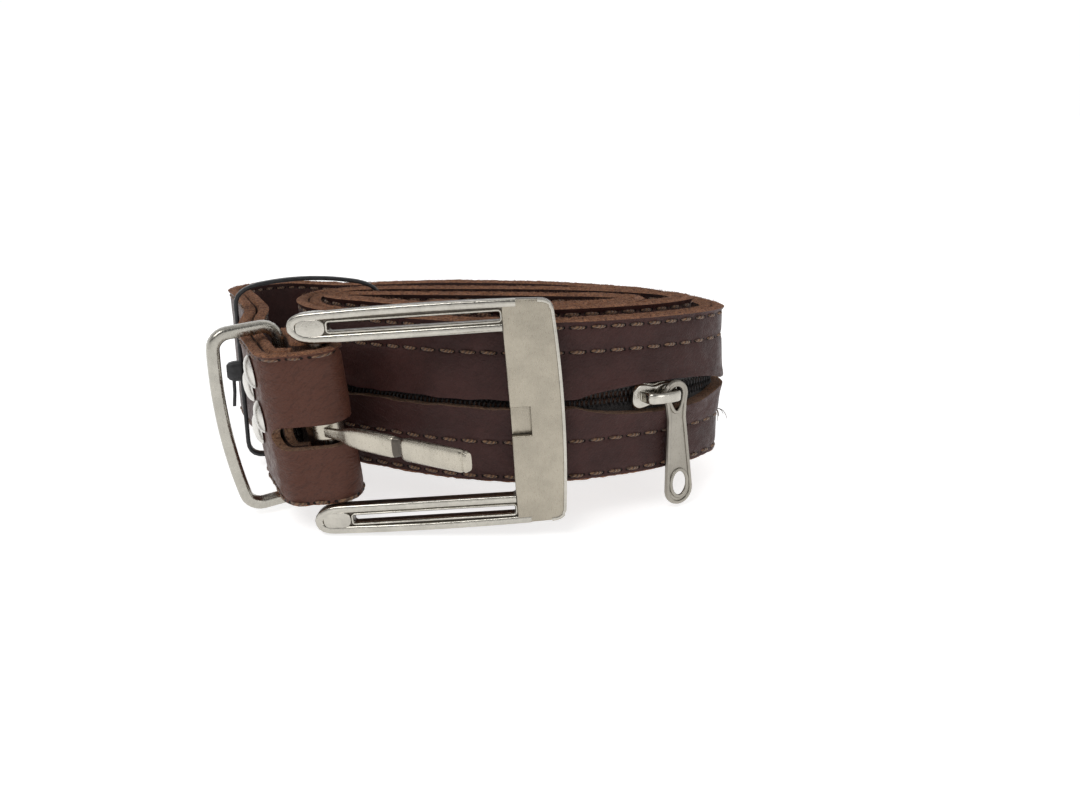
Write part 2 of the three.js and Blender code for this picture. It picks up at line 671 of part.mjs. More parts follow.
const belt = new THREE.Group();
belt.add(roll);
belt.updateMatrixWorld(true);
const bounds = new THREE.Box3().setFromObject(belt, true);
const middle = bounds.getCenter(new THREE.Vector3());
roll.position.set(-middle.x, -middle.y, -bounds.min.z);

export default belt;
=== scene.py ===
import json
import math
import random

import bmesh
import bpy
import numpy as np
from mathutils import Euler, Matrix, Vector, noise


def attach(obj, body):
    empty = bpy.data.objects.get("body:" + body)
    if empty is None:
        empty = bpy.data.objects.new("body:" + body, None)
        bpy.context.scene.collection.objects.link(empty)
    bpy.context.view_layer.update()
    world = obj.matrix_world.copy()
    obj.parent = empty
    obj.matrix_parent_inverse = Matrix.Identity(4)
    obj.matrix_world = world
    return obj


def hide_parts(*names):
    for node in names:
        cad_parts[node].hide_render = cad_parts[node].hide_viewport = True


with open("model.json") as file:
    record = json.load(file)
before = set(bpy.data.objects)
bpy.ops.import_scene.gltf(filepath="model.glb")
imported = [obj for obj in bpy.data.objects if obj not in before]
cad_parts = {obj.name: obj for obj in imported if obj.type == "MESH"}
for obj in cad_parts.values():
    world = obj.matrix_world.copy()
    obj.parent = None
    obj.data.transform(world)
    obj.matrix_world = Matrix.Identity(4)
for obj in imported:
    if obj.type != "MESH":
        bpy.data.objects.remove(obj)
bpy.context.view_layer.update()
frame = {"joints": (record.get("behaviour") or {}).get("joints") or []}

MM = 0.001
random.seed(7)

# ------------------------------------------------------------------ driving sizes, in mm
# The strap is drawn flat, as (along, outward, height), and bent along the same plan route as the CAD.
STRAP_WIDTH = 38.0
MID_HEIGHT = STRAP_WIDTH / 2
FOLD_WIDTH = 36.8
FACE = 2.6                # outward offset of the strap's show face from its middle surface
INNER_WRAP_RISE = 2.0
FOLD_RADIUS = 3.1
BAR = Vector((-26.6, -46.0, MID_HEIGHT))
LEG_START = np.array([-36.5, -48.7])
LEG_HEADING = np.array([-0.47, 0.883]) / math.hypot(0.47, 0.883)
LEG_OUTWARD = np.array([-LEG_HEADING[1], LEG_HEADING[0]])
FLAP_DISTANCE = 5.7
FLAP_LENGTH = 19.0
WRAP_PITCH = 6.7
FRONT_RUN = [(50, -34), (38, -40), (27, -43.6), (14, -44), (1, -40.9), (-15, -33.2), (-28, -26)]

EDGE_ROWS = (1.4, 36.2)   # heights of the stitch rows beside the strap's edges
ZIP_ROWS = (9.7, 30.6)    # heights of the rows that hold the zip
STITCH_PITCH = 4.8
STITCH_LENGTH = 3.3
NEEDLE_RADIUS = 0.42


# ------------------------------------------------------------------ plan route
def on_leg(along, outward=0.0):
    return tuple(LEG_START + LEG_HEADING * along + LEG_OUTWARD * outward)


def front_run(wrap, skip_first, skip_last):
    """The front run, one wrap pitch further in for each wrap."""
    moved = []
    for i, (x, y) in enumerate(FRONT_RUN):
        before = FRONT_RUN[max(i - 1, 0)]
        after = FRONT_RUN[min(i + 1, len(FRONT_RUN) - 1)]
        heading = (Vector(after) - Vector(before)).normalized()
        moved.append((x + heading.y * wrap * WRAP_PITCH, y - heading.x * wrap * WRAP_PITCH))
    return moved[skip_first:len(moved) - skip_last]


def fold_arc():
    """The strap's half turn round the buckle's bar."""
    turns = [math.radians(angle) for angle in range(90, -91, -30)]
    return [(BAR.x + FOLD_RADIUS * math.cos(t), BAR.y + FOLD_RADIUS * math.sin(t)) for t in turns]


PLAN_POINTS = [
    on_leg(FLAP_LENGTH, -FLAP_DISTANCE), on_leg(11, -FLAP_DISTANCE), on_leg(3.5, -FLAP_DISTANCE),
    (-30.4, -43.9), *fold_arc(), (-30.5, -49.2), (-34.6, -49.1), (-36.9, -47.6),
    on_leg(4), on_leg(12), on_leg(20),
    # outer wrap: left bulge, back run and right turn
    (-49.3, -20), (-51.5, -11), (-57.5, -1), (-64.5, 11.5), (-69.5, 24), (-67.5, 36),
    (-59.5, 42.5), (-49.5, 39.5), (-40.5, 36.5), (-28, 39.5), (-11, 44.5), (9, 42.8),
    (25.3, 39.2), (40, 30), (51, 21), (57, 11.5), (62.5, 0), (66, -12), (65.6, -19), (60, -26.5),
    *front_run(0, 0, 0),
    # second wrap
    (-35.2, -19.5), (-38.8, -11.5), (-38.4, -3.5), (-33, 3), (-22, 6), (-7, 6.8), (12, 6.5),
    (32, 3.5), (47, -2), (56.5, -9.5), (58.4, -16), (54.4, -22),
    *front_run(1, 0, 1),
    # third wrap, ending at the tip
    (-20.5, -21.6), (-28.5, -16.5), (-31.6, -11.8), (-28.6, -7.8), (-20, -7.4), (-5, -8),
    (12, -9.2), (27, -11), (39, -12.6), (45.6, -17), (42.2, -23.4),
    *front_run(2, 1, 2), (-15, -18.2),
]


def catmull_rom(points, steps=60):
    """Samples a centripetal Catmull-Rom curve through the points."""
    p = [np.array(point, float) for point in points]
    p = [2 * p[0] - p[1], *p, 2 * p[-1] - p[-2]]
    samples = []
    t = np.linspace(0, 1, steps, endpoint=False)[:, None]
    for p0, p1, p2, p3 in zip(p, p[1:], p[2:], p[3:]):
        d0, d1, d2 = (np.linalg.norm(b - a) ** 0.5 for a, b in ((p0, p1), (p1, p2), (p2, p3)))
        slope1 = ((p1 - p0) / d0 - (p2 - p0) / (d0 + d1) + (p2 - p1) / d1) * d1
        slope2 = ((p2 - p1) / d1 - (p3 - p1) / (d1 + d2) + (p3 - p2) / d2) * d1
        cubic = 2 * p1 - 2 * p2 + slope1 + slope2
        square = -3 * p1 + 3 * p2 - 2 * slope1 - slope2
        samples.append(p1 + slope1 * t + square * t ** 2 + cubic * t ** 3)
    samples.append(p[-2][None, :])
    return np.concatenate(samples)


ROUTE = catmull_rom(PLAN_POINTS)
ROUTE_AT = np.concatenate([[0], np.cumsum(np.linalg.norm(np.diff(ROUTE, axis=0), axis=1))])
ROUTE_LENGTH = float(ROUTE_AT[-1])
ROUTE_HEADING = np.gradient(ROUTE, ROUTE_AT, axis=0)


def nearest_along(x, y, low, high):
    inside = (ROUTE_AT >= low) & (ROUTE_AT <= high)
    distance = np.hypot(ROUTE[:, 0] - x, ROUTE[:, 1] - y)
    return float(ROUTE_AT[inside][np.argmin(distance[inside])])


CORNER = nearest_along(*LEG_START, 0, 60)
BAR_FRONT = nearest_along(BAR.x, BAR.y - FOLD_RADIUS, 0, 60)
LEG_END = CORNER + 24
BULGE = nearest_along(-64.5, 11.5, CORNER, 150)
RIGHT_TURN = nearest_along(66, -12, 200, 400)
SLIDER_AT = nearest_along(46.4, -35.8, RIGHT_TURN, RIGHT_TURN + 80)
LEFT_TURN = nearest_along(-38.8, -11.5, SLIDER_AT, SLIDER_AT + 160)
ZIP_START = RIGHT_TURN - 6
ZIP_END = nearest_along(47, -2, LEFT_TURN, LEFT_TURN + 140)
SLIT_MID = 18.8
PRONG_MID = MID_HEIGHT - 1.5
TIP_LENGTH = 14.0


def smoothstep(value, low, high):
    t = np.clip((np.asarray(value, float) - low) / (high - low), 0, 1)
    return t * t * (3 - 2 * t)


# ------------------------------------------------------------------ droop and lean of the roll
DROOP_PITCH = math.radians(6.5)
DROOP_ROLL = math.radians(-4.5)
DROOP_PIVOT = Vector((-45, 6, MID_HEIGHT))
LEAN = math.radians(-7)

DROOP = (
    Matrix.Translation(DROOP_PIVOT)
    @ Matrix.Rotation(DROOP_PITCH, 4, "X") @ Matrix.Rotation(DROOP_ROLL, 4, "Y")
    @ Matrix.Translation(-DROOP_PIVOT)
)


def roll_matrix():
    """From the roll's own frame in mm to the part's frame in mm: the lean, and the shift that
    brings the buckle's bar to its hinge."""
    hinge = next(joint for joint in frame["joints"] if joint["name"] == "buckle_swing")
    lean = Matrix.Rotation(LEAN, 4, "X")
    return Matrix.Translation(Vector(hinge["pos_m"]) / MM - lean @ DROOP @ BAR) @ lean


ROLL = roll_matrix()
TO_METRES = Matrix.Scale(MM, 4)
BUCKLE_END = ROLL @ DROOP
FRAME_TURN = Euler((math.radians(-5.5), math.radians(0.6), 0)).to_matrix().to_4x4()
BUCKLE = BUCKLE_END @ Matrix.Translation(BAR) @ FRAME_TURN


def plan(along):
    x, y = (np.interp(along, ROUTE_AT, ROUTE[:, i]) for i in (0, 1))
    hx, hy = (np.interp(along, ROUTE_AT, ROUTE_HEADING[:, i]) for i in (0, 1))
    size = np.hypot(hx, hy)
    return x, y, hx / size, hy / size


def bend(along, outward, height):
    """Places strap points, given flat in mm, in the part's frame in metres."""
    along, outward, height = (a.astype(float) for a in np.broadcast_arrays(along, outward, height))
    x, y, hx, hy = plan(along)
    z = height + INNER_WRAP_RISE * smoothstep(along, LEFT_TURN - 25, LEFT_TURN + 25)
    x = x - hy * outward - DROOP_PIVOT.x
    y = y + hx * outward - DROOP_PIVOT.y
    z = z - DROOP_PIVOT.z
    share = 1 - smoothstep(along, LEG_END, BULGE)
    cos_roll, sin_roll = np.cos(DROOP_ROLL * share), np.sin(DROOP_ROLL * share)
    x, z = cos_roll * x + sin_roll * z, -sin_roll * x + cos_roll * z
    cos_pitch, sin_pitch = np.cos(DROOP_PITCH * share), np.sin(DROOP_PITCH * share)
    y, z = cos_pitch * y - sin_pitch * z, sin_pitch * y + cos_pitch * z
    spots = np.stack([x, y, z], -1) + np.array(DROOP_PIVOT)
    turn = np.array(ROLL.to_3x3())
    return (spots @ turn.T + np.array(ROLL.translation)) * MM


# ------------------------------------------------------------------ mesh helpers
def finish_piece(mesh, name, body, nodes, materials, sharp=40):
    mesh.name = name
    for material in materials:
        mesh.materials.append(material)
    piece = bpy.data.objects.new(name, mesh)
    bpy.context.scene.collection.objects.link(piece)
    mesh.polygons.foreach_set("use_smooth", np.ones(len(mesh.polygons), bool))
    mesh.set_sharp_from_angle(angle=math.radians(sharp))
    mesh.update()
    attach(piece, body)
    if nodes:
        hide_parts(*nodes)


def mesh_from(spots, faces, face_materials=None):
    mesh = bpy.data.meshes.new("piece")
    mesh.from_pydata(np.asarray(spots).reshape(-1, 3).tolist(), [], faces)
    if face_materials is not None:
        mesh.polygons.foreach_set("material_index", np.asarray(face_materials, np.int32))
    mesh.validate()
    return mesh


def store_strap_place(mesh, place):
    """Keeps each vertex's flat strap place in mm, for the materials."""
    attribute = mesh.attributes.new("strap_mm", "FLOAT_VECTOR", "POINT")
    attribute.data.foreach_set("vector", np.asarray(place, np.float32).ravel())


def grid_faces(rows, columns, close_rows=False, close_columns=True):
    faces = []
    for i in range(rows if close_rows else rows - 1):
        here, there = i * columns, (i + 1) % rows * columns
        for j in range(columns if close_columns else columns - 1):
            k = (j + 1) % columns
            faces.append((here + j, here + k, there + k, there + j))
    return faces


def tube(rings, closed=False):
    """Vertices and faces of a tube through equal rings of points, with flat end caps."""
    rings = np.asarray(rings, float)
    count, sides = rings.shape[:2]
    faces = grid_faces(count, sides, close_rows=closed)
    if not closed:
        faces.append(tuple(range(sides))[::-1])
        faces.append(tuple(range((count - 1) * sides, count * sides)))
    return rings.reshape(-1, 3), faces


def rounded_section(half_a, half_b, power, count):
    """Points of a superellipse: a rectangle with soft corners."""
    points = []
    for i in range(count):
        angle = 2 * math.pi * (i + 0.5) / count
        c, s = math.cos(angle), math.sin(angle)
        points.append((
            half_a * math.copysign(abs(c) ** (2 / power), c),
            half_b * math.copysign(abs(s) ** (2 / power), s),
        ))
    return points


def sweep(path, section, normal=(0, 1, 0), closed=True):
    """Carries a section along a path that lies square to the normal.
    The section's first number runs away from the path's left side, its second along the normal."""
    normal = Vector(normal)
    rings = []
    count = len(path)
    for i, point in enumerate(path):
        before = path[(i - 1) % count] if closed or i else path[i]
        after = path[(i + 1) % count] if closed or i < count - 1 else path[i]
        side = (Vector(after) - Vector(before)).normalized().cross(normal)
        rings.append([Vector(point) + side * a + normal * b for a, b in section])
    return tube(rings, closed)


def join_shells(shells):
    """Puts several shells in one mesh. Each is (vertices, faces), and a material index when it isn't 0."""
    spots, faces, materials = [], [], []
    for shell_spots, shell_faces, *index in shells:
        base = len(spots)
        spots.extend([tuple(spot) for spot in shell_spots])
        faces.extend([tuple(base + i for i in face) for face in shell_faces])
        materials.extend((index or [0]) * len(shell_faces))
    return spots, faces, materials


def placed(spots, matrix):
    matrix = TO_METRES @ matrix
    return [tuple(matrix @ Vector(spot)) for spot in spots]


def hardware(name, body, node, matrix, shells, materials, sharp=40):
    """A piece made of shells that are given in local mm."""
    spots, faces, slots = join_shells(shells)
    mesh = mesh_from(placed(spots, matrix), faces, slots)
    finish_piece(mesh, name, body, [node], materials, sharp)


def outline_plate(outlines, front, back, bevel, segments=3):
    """A flat plate with rounded edges, from outlines in local X and Z: its border, then any holes."""
    curve = bpy.data.curves.new("outline", "CURVE")
    curve.dimensions = "2D"
    curve.fill_mode = "BOTH"
    curve.extrude = (back - front) / 2 - bevel
    curve.bevel_depth = bevel
    curve.bevel_resolution = segments
    curve.offset = -bevel
    for outline in outlines:
        spline = curve.splines.new("POLY")
        spline.points.add(len(outline) - 1)
        for point, (x, z) in zip(spline.points, outline):
            point.co = (x, z, 0, 1)
        spline.use_cyclic_u = True
    holder = bpy.data.objects.new("outline", curve)
    bpy.context.scene.collection.objects.link(holder)
    shaped = holder.evaluated_get(bpy.context.evaluated_depsgraph_get())
    mesh = bpy.data.meshes.new_from_object(shaped)
    welded = bmesh.new()
    welded.from_mesh(mesh)
    bmesh.ops.remove_doubles(welded, verts=welded.verts, dist=1e-4)
    bmesh.ops.recalc_face_normals(welded, faces=welded.faces)
    middle = (front + back) / 2
    welded.verts.index_update()
    spots = [(v.co.x, middle - v.co.z, v.co.y) for v in welded.verts]
    faces = [tuple(v.index for v in face.verts) for face in welded.faces]
    welded.free()
    bpy.data.objects.remove(holder)
    bpy.data.curves.remove(curve)
    bpy.data.meshes.remove(mesh)
    return spots, faces


def around(count):
    """Evenly spaced angles round a full turn."""
    return np.linspace(0, 2 * math.pi, count, endpoint=False)


def circle(radius, z, count):
    """Points round the Z axis at one height."""
    return [(radius * math.cos(a), radius * math.sin(a), z) for a in around(count)]


def arc(x, y, radius, first, last, steps=6):
    return [
        (x + radius * math.cos(math.radians(a)), y + radius * math.sin(math.radians(a)))
        for a in np.linspace(first, last, steps)
    ]


def curve_between(start, control, end, steps=10):
    """Points of a quadratic curve, without its first."""
    start, control, end = (np.array(p, float) for p in (start, control, end))
    return [tuple((1 - t) ** 2 * start + 2 * t * (1 - t) * control + t * t * end)
            for t in np.linspace(0, 1, steps + 1)[1:]]


def rounded_rectangle(left, bottom, right, top, radius, steps=5):
    return (
        arc(right - radius, top - radius, radius, 0, 90, steps)
        + arc(left + radius, top - radius, radius, 90, 180, steps)
        + arc(left + radius, bottom + radius, radius, 180, 270, steps)
        + arc(right - radius, bottom + radius, radius, 270, 360, steps)
    )


# ------------------------------------------------------------------ materials
class Graph:
    """Short names for the node setups that the materials share."""

    def __init__(self, name):
        self.material = bpy.data.materials.new(name)
        self.material.use_nodes = True
        self.tree = self.material.node_tree
        self.shader = self.tree.nodes["Principled BSDF"]

    def node(self, kind, inputs=(), **settings):
        made = self.tree.nodes.new(kind)
        for key, value in settings.items():
            setattr(made, key, value)
        for key, value in dict(inputs).items():
            if isinstance(value, bpy.types.NodeSocket):
                self.tree.links.new(value, made.inputs[key])
            else:
                made.inputs[key].default_value = value
        return made

    def place(self, stretch=(1, 1, 1)):
        """Object coordinates in mm, stretched."""
        source = self.node("ShaderNodeTexCoord").outputs["Object"]
        scale = tuple(s / MM for s in stretch)
        return self.node("ShaderNodeMapping", {"Vector": source, "Scale": scale}).outputs[0]

    def strap_place(self, stretch=(1, 1, 1)):
        """The strap's flat coordinates in mm (along, height, outward), stretched."""
        source = self.node("ShaderNodeAttribute", attribute_name="strap_mm").outputs["Vector"]
        return self.node("ShaderNodeMapping", {"Vector": source, "Scale": stretch}).outputs[0]

    def slanted_place(self, degrees, stretch):
        """The strap's flat coordinates, turned in the strap's face and then stretched."""
        source = self.strap_place()
        turn = (0, 0, math.radians(degrees))
        inputs = {"Vector": source, "Rotation": turn, "Scale": [1 / share for share in stretch]}
        return self.node("ShaderNodeMapping", inputs, vector_type="TEXTURE").outputs[0]

    def noise(self, vector, scale, detail=3.0, roughness=0.55, distortion=0.0):
        inputs = {"Vector": vector, "Scale": scale, "Detail": detail, "Roughness": roughness,
                  "Distortion": distortion}
        return self.node("ShaderNodeTexNoise", inputs).outputs["Fac"]

    def cells(self, vector, scale):
        return self.node("ShaderNodeTexVoronoi", {"Vector": vector, "Scale": scale}).outputs[0]

    def math(self, operation, a, b=0.0):
        return self.node("ShaderNodeMath", {0: a, 1: b}, operation=operation).outputs[0]

    def steps(self, value, low, high, to_low=0.0, to_high=1.0):
        inputs = {"Value": value, "From Min": low, "From Max": high, "To Min": to_low, "To Max": to_high}
        return self.node("ShaderNodeMapRange", inputs, interpolation_type="SMOOTHSTEP").outputs[0]

    def mix(self, share, a, b):
        made = self.node("ShaderNodeMix", {0: share}, data_type="RGBA")
        for index, value in ((6, a), (7, b)):
            if isinstance(value, bpy.types.NodeSocket):
                self.tree.links.new(value, made.inputs[index])
            else:
                made.inputs[index].default_value = (*value, 1)
        return made.outputs[2]

    def bump(self, height, depth, below=None):
        """A bump whose height of 1 stands depth mm high."""
        inputs = {"Height": height, "Distance": depth * MM, "Strength": 1.0}
        if below is not None:
            inputs["Normal"] = below
        return self.node("ShaderNodeBump", inputs).outputs[0]

    def finish(self, color=None, roughness=None, normal=None, **fixed):
        for key, value in (("Base Color", color), ("Roughness", roughness), ("Normal", normal)):
            if isinstance(value, bpy.types.NodeSocket):
                self.tree.links.new(value, self.shader.inputs[key])
            elif value is not None:
                self.shader.inputs[key].default_value = (*value, 1) if key == "Base Color" else value
        for key, value in fixed.items():
            self.shader.inputs[key.replace("_", " ")].default_value = value
        return self.material


def needle_holes(graph, rows, start, end):
    """1 at each needle hole along the given rows of stitches between two distances, and 0 elsewhere."""
    flat = graph.node("ShaderNodeSeparateXYZ", {0: graph.strap_place()})
    along, height = flat.outputs[0], flat.outputs[1]
    step = graph.math("FLOORED_MODULO", along, STITCH_PITCH)
    to_first = graph.math("MINIMUM", step, graph.math("SUBTRACT", STITCH_PITCH, step))
    to_second = graph.math("ABSOLUTE", graph.math("SUBTRACT", step, STITCH_LENGTH))
    beside = graph.math("MINIMUM", to_first, to_second)
    across = None
    for row in rows:
        away = graph.math("ABSOLUTE", graph.math("SUBTRACT", height, row))
        across = away if across is None else graph.math("MINIMUM", across, away)
    squares = graph.math("ADD", graph.math("POWER", beside, 2), graph.math("POWER", across, 2))
    distance = graph.math("SQRT", squares)
    hole = graph.steps(distance, NEEDLE_RADIUS * 0.55, NEEDLE_RADIUS, 1, 0)
    after = graph.math("GREATER_THAN", along, start)
    before = graph.math("LESS_THAN", along, end)
    return graph.math("MULTIPLY", hole, graph.math("MULTIPLY", after, before))


def grain_leather(name, dark, light, lobe_color, has_zip, roughness):
    """Smooth dyed leather: pebbled grain, stretched creases, needle holes, and a lighter buckle end."""
    graph = Graph(name)
    flat = graph.strap_place()
    creases = graph.noise(graph.slanted_place(20, (0.3, 0.85, 0.3)), 0.8, 5, 0.62, 1.0)
    wrinkles = graph.noise(graph.slanted_place(-40, (0.7, 2.4, 1)), 0.9, 4, 0.6, 0.8)
    grain = graph.cells(graph.strap_place((1.5, 1.5, 1.5)), 1.35)
    pores = graph.noise(flat, 5.5, 2)
    patches = graph.noise(flat, 0.09, 4, 0.6)
    color = graph.mix(graph.steps(patches, 0.32, 0.68), dark, light)
    along = graph.node("ShaderNodeSeparateXYZ", {0: flat}).outputs[0]
    lobes = graph.steps(along, LEG_END - 8, LEG_END + 10, 1, 0)
    color = graph.mix(graph.math("MULTIPLY", lobes, 0.92), color, lobe_color)
    # Painted shade: the wrinkles' hollows are darkened towards near black.
    color = graph.mix(graph.steps(wrinkles, 0.3, 0.55, 0.4, 0), color, (0.014, 0.006, 0.005))
    color = graph.mix(graph.steps(pores, 0.35, 0.7, 0.12, 0), color, (0.13, 0.07, 0.05))
    holes = needle_holes(graph, EDGE_ROWS, 0, ROUTE_LENGTH - TIP_LENGTH)
    if has_zip:
        zip_holes = needle_holes(graph, ZIP_ROWS, ZIP_START - 8, ZIP_END + 8)
        holes = graph.math("MAXIMUM", holes, zip_holes)
    # Painted shade: the needle holes, which are only dents in the bump, are coloured near black.
    color = graph.mix(graph.math("MULTIPLY", holes, 0.94), color, (0.004, 0.002, 0.002))
    normal = graph.bump(creases, 0.3)
    normal = graph.bump(wrinkles, 0.12, below=normal)
    normal = graph.bump(grain, 0.07, below=normal)
    normal = graph.bump(graph.math("SUBTRACT", 1.0, holes), 0.5, below=normal)
    worn = graph.steps(graph.noise(flat, 0.5, 4), 0.3, 0.7, roughness - 0.07, roughness + 0.12)
    return graph.finish(color, worn, normal, Specular_IOR_Level=0.17)


def suede(name, dark, light):
    """Raw cut leather: torn fibres, deep pits darkened with painted shade, and a paler nap."""
    graph = Graph(name)
    fibres = graph.noise(graph.place((0.9, 0.9, 0.9)), 1.6, 6, 0.75, 0.8)
    pits = graph.cells(graph.place((1.2, 1.2, 0.9)), 1.0)
    nap = graph.noise(graph.place((3.4, 3.4, 3.4)), 1.4, 4, 0.7)
    color = graph.mix(graph.steps(fibres, 0.38, 0.62), dark, light)
    # Painted shade: the pits are darkened where the bump sinks.
    color = graph.mix(graph.steps(pits, 0.06, 0.42, 0.9, 0), color, (0.035, 0.013, 0.007))
    color = graph.mix(graph.steps(nap, 0.48, 0.7, 0, 0.6), color, (0.42, 0.23, 0.14))
    normal = graph.bump(pits, 0.55)
    normal = graph.bump(fibres, 0.7, below=normal)
    normal = graph.bump(nap, 0.3, below=normal)
    return graph.finish(color, 0.95, normal, Sheen_Weight=0.12, Sheen_Roughness=0.5, Specular_IOR_Level=0.1)


def cast_nickel(name, color, roughness, brush=(1, 1, 1), brush_depth=0.012, tarnish=0.35):
    """Nickel plate over a casting: brushed lines with painted shade in their grooves, cloudy polish and a
    little tarnish.
    """
    graph = Graph(name)
    lines = graph.noise(graph.place(brush), 2.4, 5, 0.65)
    clouds = graph.noise(graph.place(), 0.16, 4, 0.6)
    specks = graph.noise(graph.place(), 1.9, 3, 0.5)
    tint = graph.mix(graph.steps(clouds, 0.34, 0.66), color, tuple(c * 0.86 for c in color))
    # Painted shade: the tint is darkened in the brushed lines' grooves.
    tint = graph.mix(graph.steps(lines, 0.35, 0.6, 0.18, 0), tint, tuple(c * 0.45 for c in color))
    tint = graph.mix(graph.steps(specks, 0.56, 0.74, 0, tarnish), tint, (0.16, 0.13, 0.1))
    rough = graph.steps(lines, 0.3, 0.7, roughness - 0.06, roughness + 0.12)
    normal = graph.bump(lines, brush_depth)
    normal = graph.bump(clouds, 0.2, below=normal)
    return graph.finish(tint, rough, normal, Metallic=1.0)


def black_cloth(name):
    """Woven zip tape with a worn, furry nap."""
    graph = Graph(name)
    ribs = graph.node(
        "ShaderNodeTexWave", {"Vector": graph.strap_place((1.6, 0.3, 1)), "Scale": 0.9, "Distortion": 2.5},
    ).outputs["Fac"]
    nap = graph.noise(graph.place((2, 2, 2)), 1.3, 5, 0.7)
    color = graph.mix(graph.steps(nap, 0.4, 0.7), (0.006, 0.005, 0.005), (0.04, 0.034, 0.03))
    normal = graph.bump(ribs, 0.12)
    normal = graph.bump(nap, 0.3, below=normal)
    return graph.finish(color, 0.97, normal, Sheen_Weight=0.3)


def nylon(name, color, roughness):
    graph = Graph(name)
    marks = graph.noise(graph.place(), 0.7, 4, 0.6)
    flow = graph.noise(graph.place((0.3, 0.3, 2)), 1.2, 3)
    tint = graph.mix(graph.steps(marks, 0.35, 0.7), color, tuple(c * 2.2 + 0.004 for c in color))
    rough = graph.steps(flow, 0.3, 0.7, roughness, roughness + 0.2)
    return graph.finish(tint, rough, graph.bump(marks, 0.05))


def sewing_thread(name):
    """Twisted thread, with slanting plies drawn as painted light and dark bands, and a fuzzy surface."""
    graph = Graph(name)
    flat = graph.strap_place((1, 0.9, 0.9))
    plies = graph.node("ShaderNodeTexWave", {"Vector": flat, "Scale": 0.62, "Distortion": 0.4},
                       bands_direction="DIAGONAL").outputs["Fac"]
    fuzz = graph.noise(graph.place((4, 4, 4)), 1.3, 3)
    shade = graph.noise(graph.place(), 0.12, 3)
    # Painted shade and light: darker between the plies, lighter on them, following the plies' bump.
    color = graph.mix(graph.steps(plies, 0.2, 0.75), (0.06, 0.03, 0.015), (0.19, 0.1, 0.048))
    color = graph.mix(graph.steps(shade, 0.35, 0.65, 0, 0.4), color, (0.12, 0.055, 0.028))
    normal = graph.bump(plies, 0.22)
    normal = graph.bump(fuzz, 0.08, below=normal)
    return graph.finish(color, 0.72, normal, Sheen_Weight=0.2)


def pale_floor(name):
    graph = Graph(name)
    mottle = graph.noise(graph.place((0.02, 0.02, 0.02)), 0.6, 3)
    color = graph.mix(mottle, (0.6, 0.6, 0.6), (0.64, 0.64, 0.64))
    return graph.finish(
        color, 0.7, Specular_IOR_Level=0.2, Emission_Color=(1, 1, 1, 1), Emission_Strength=0.72)


SHOW_LEATHER = grain_leather(
    "show_leather", (0.027, 0.0095, 0.0095), (0.044, 0.016, 0.015), (0.082, 0.03, 0.019), True, 0.42)
LINING_LEATHER = grain_leather(
    "lining_leather", (0.024, 0.0095, 0.0095), (0.04, 0.0155, 0.0145), (0.05, 0.021, 0.016), False, 0.52)
RAW_EDGE = suede("raw_edge", (0.14, 0.05, 0.022), (0.47, 0.21, 0.105))
CUT_LIP = suede("cut_lip", (0.17, 0.085, 0.045), (0.36, 0.2, 0.12))
FLESH_SIDE = suede("flesh_side", (0.03, 0.013, 0.009), (0.085, 0.036, 0.021))
BRUSHED = cast_nickel("brushed_nickel", (0.41, 0.37, 0.3), 0.28, (2.2, 2.2, 0.25), 0.02, 0.12)
POLISHED = cast_nickel("polished_nickel", (0.52, 0.495, 0.44), 0.14, (0.6, 0.6, 0.6), 0.008, 0.08)
ANTIQUED = cast_nickel("antiqued_nickel", (0.12, 0.105, 0.09), 0.36, (1, 1, 1), 0.02, 0.6)
PULLER_PLATE = cast_nickel("puller_plate", (0.36, 0.335, 0.29), 0.32, (1.4, 1.4, 0.5), 0.015, 0.25)
RIVET_PLATE = cast_nickel("rivet_plate", (0.72, 0.7, 0.66), 0.3, (1, 1, 1), 0.006, 0.15)
PRONG_PLATE = cast_nickel("prong_plate", (0.5, 0.46, 0.385), 0.24, (0.5, 2, 2), 0.02, 0.3)
KEEPER_PLATE = cast_nickel("keeper_plate", (0.45, 0.43, 0.38), 0.2, (1, 1, 0.5), 0.015, 0.12)
TAPE_CLOTH = black_cloth("tape_cloth")
COIL_NYLON = nylon("coil_nylon", (0.008, 0.007, 0.007), 0.4)
TIE_NYLON = nylon("tie_nylon", (0.006, 0.006, 0.007), 0.32)
THREAD = sewing_thread("thread")
LOOSE_THREAD = sewing_thread("loose_thread")
FLOOR = pale_floor("pale_floor")


# ------------------------------------------------------------------ strap
def slit_mid(along):
    """Height of the slot that is open at this distance: the prong's near the fold, the zip's after it."""
    return PRONG_MID + (SLIT_MID - PRONG_MID) * smoothstep(along, LEG_END + 10, BULGE)


PRONG_SLOT = (13.4, CORNER + 1.2)
MOUTH_LENGTH, MOUTH_HEIGHT = 44.0, 7.4


def slit_half(along, zipped):
    """Half the height of the open slit, and 0 where the layer is whole. The lining isn't zipped."""
    along = np.asarray(along, float)
    prong_end = np.minimum(along - PRONG_SLOT[0], PRONG_SLOT[1] - along)
    prong = 2.9 * np.sqrt(np.clip(prong_end / 2.5, 0, 1)) * (prong_end > 0)
    if not zipped:
        return prong
    zip_end = np.minimum(along - ZIP_START, ZIP_END - along)
    into_mouth = (along - SLIDER_AT + 3) / (MOUTH_LENGTH / 2)
    mouth = np.sqrt(np.clip(1 - into_mouth ** 2, 0, 1)) * MOUTH_HEIGHT / 2
    ripple = 0.16 * np.sin(along * 0.31) + 0.09 * np.sin(along * 0.83 + 1)
    opened = np.maximum(1.05 + ripple, mouth) * np.sqrt(np.clip(zip_end / 3, 0, 1)) * (zip_end > 0)
    return prong + opened


def mouth_share(along):
    return np.clip(1 - ((np.asarray(along, float) - SLIDER_AT + 3) / 40) ** 2, 0, 1)


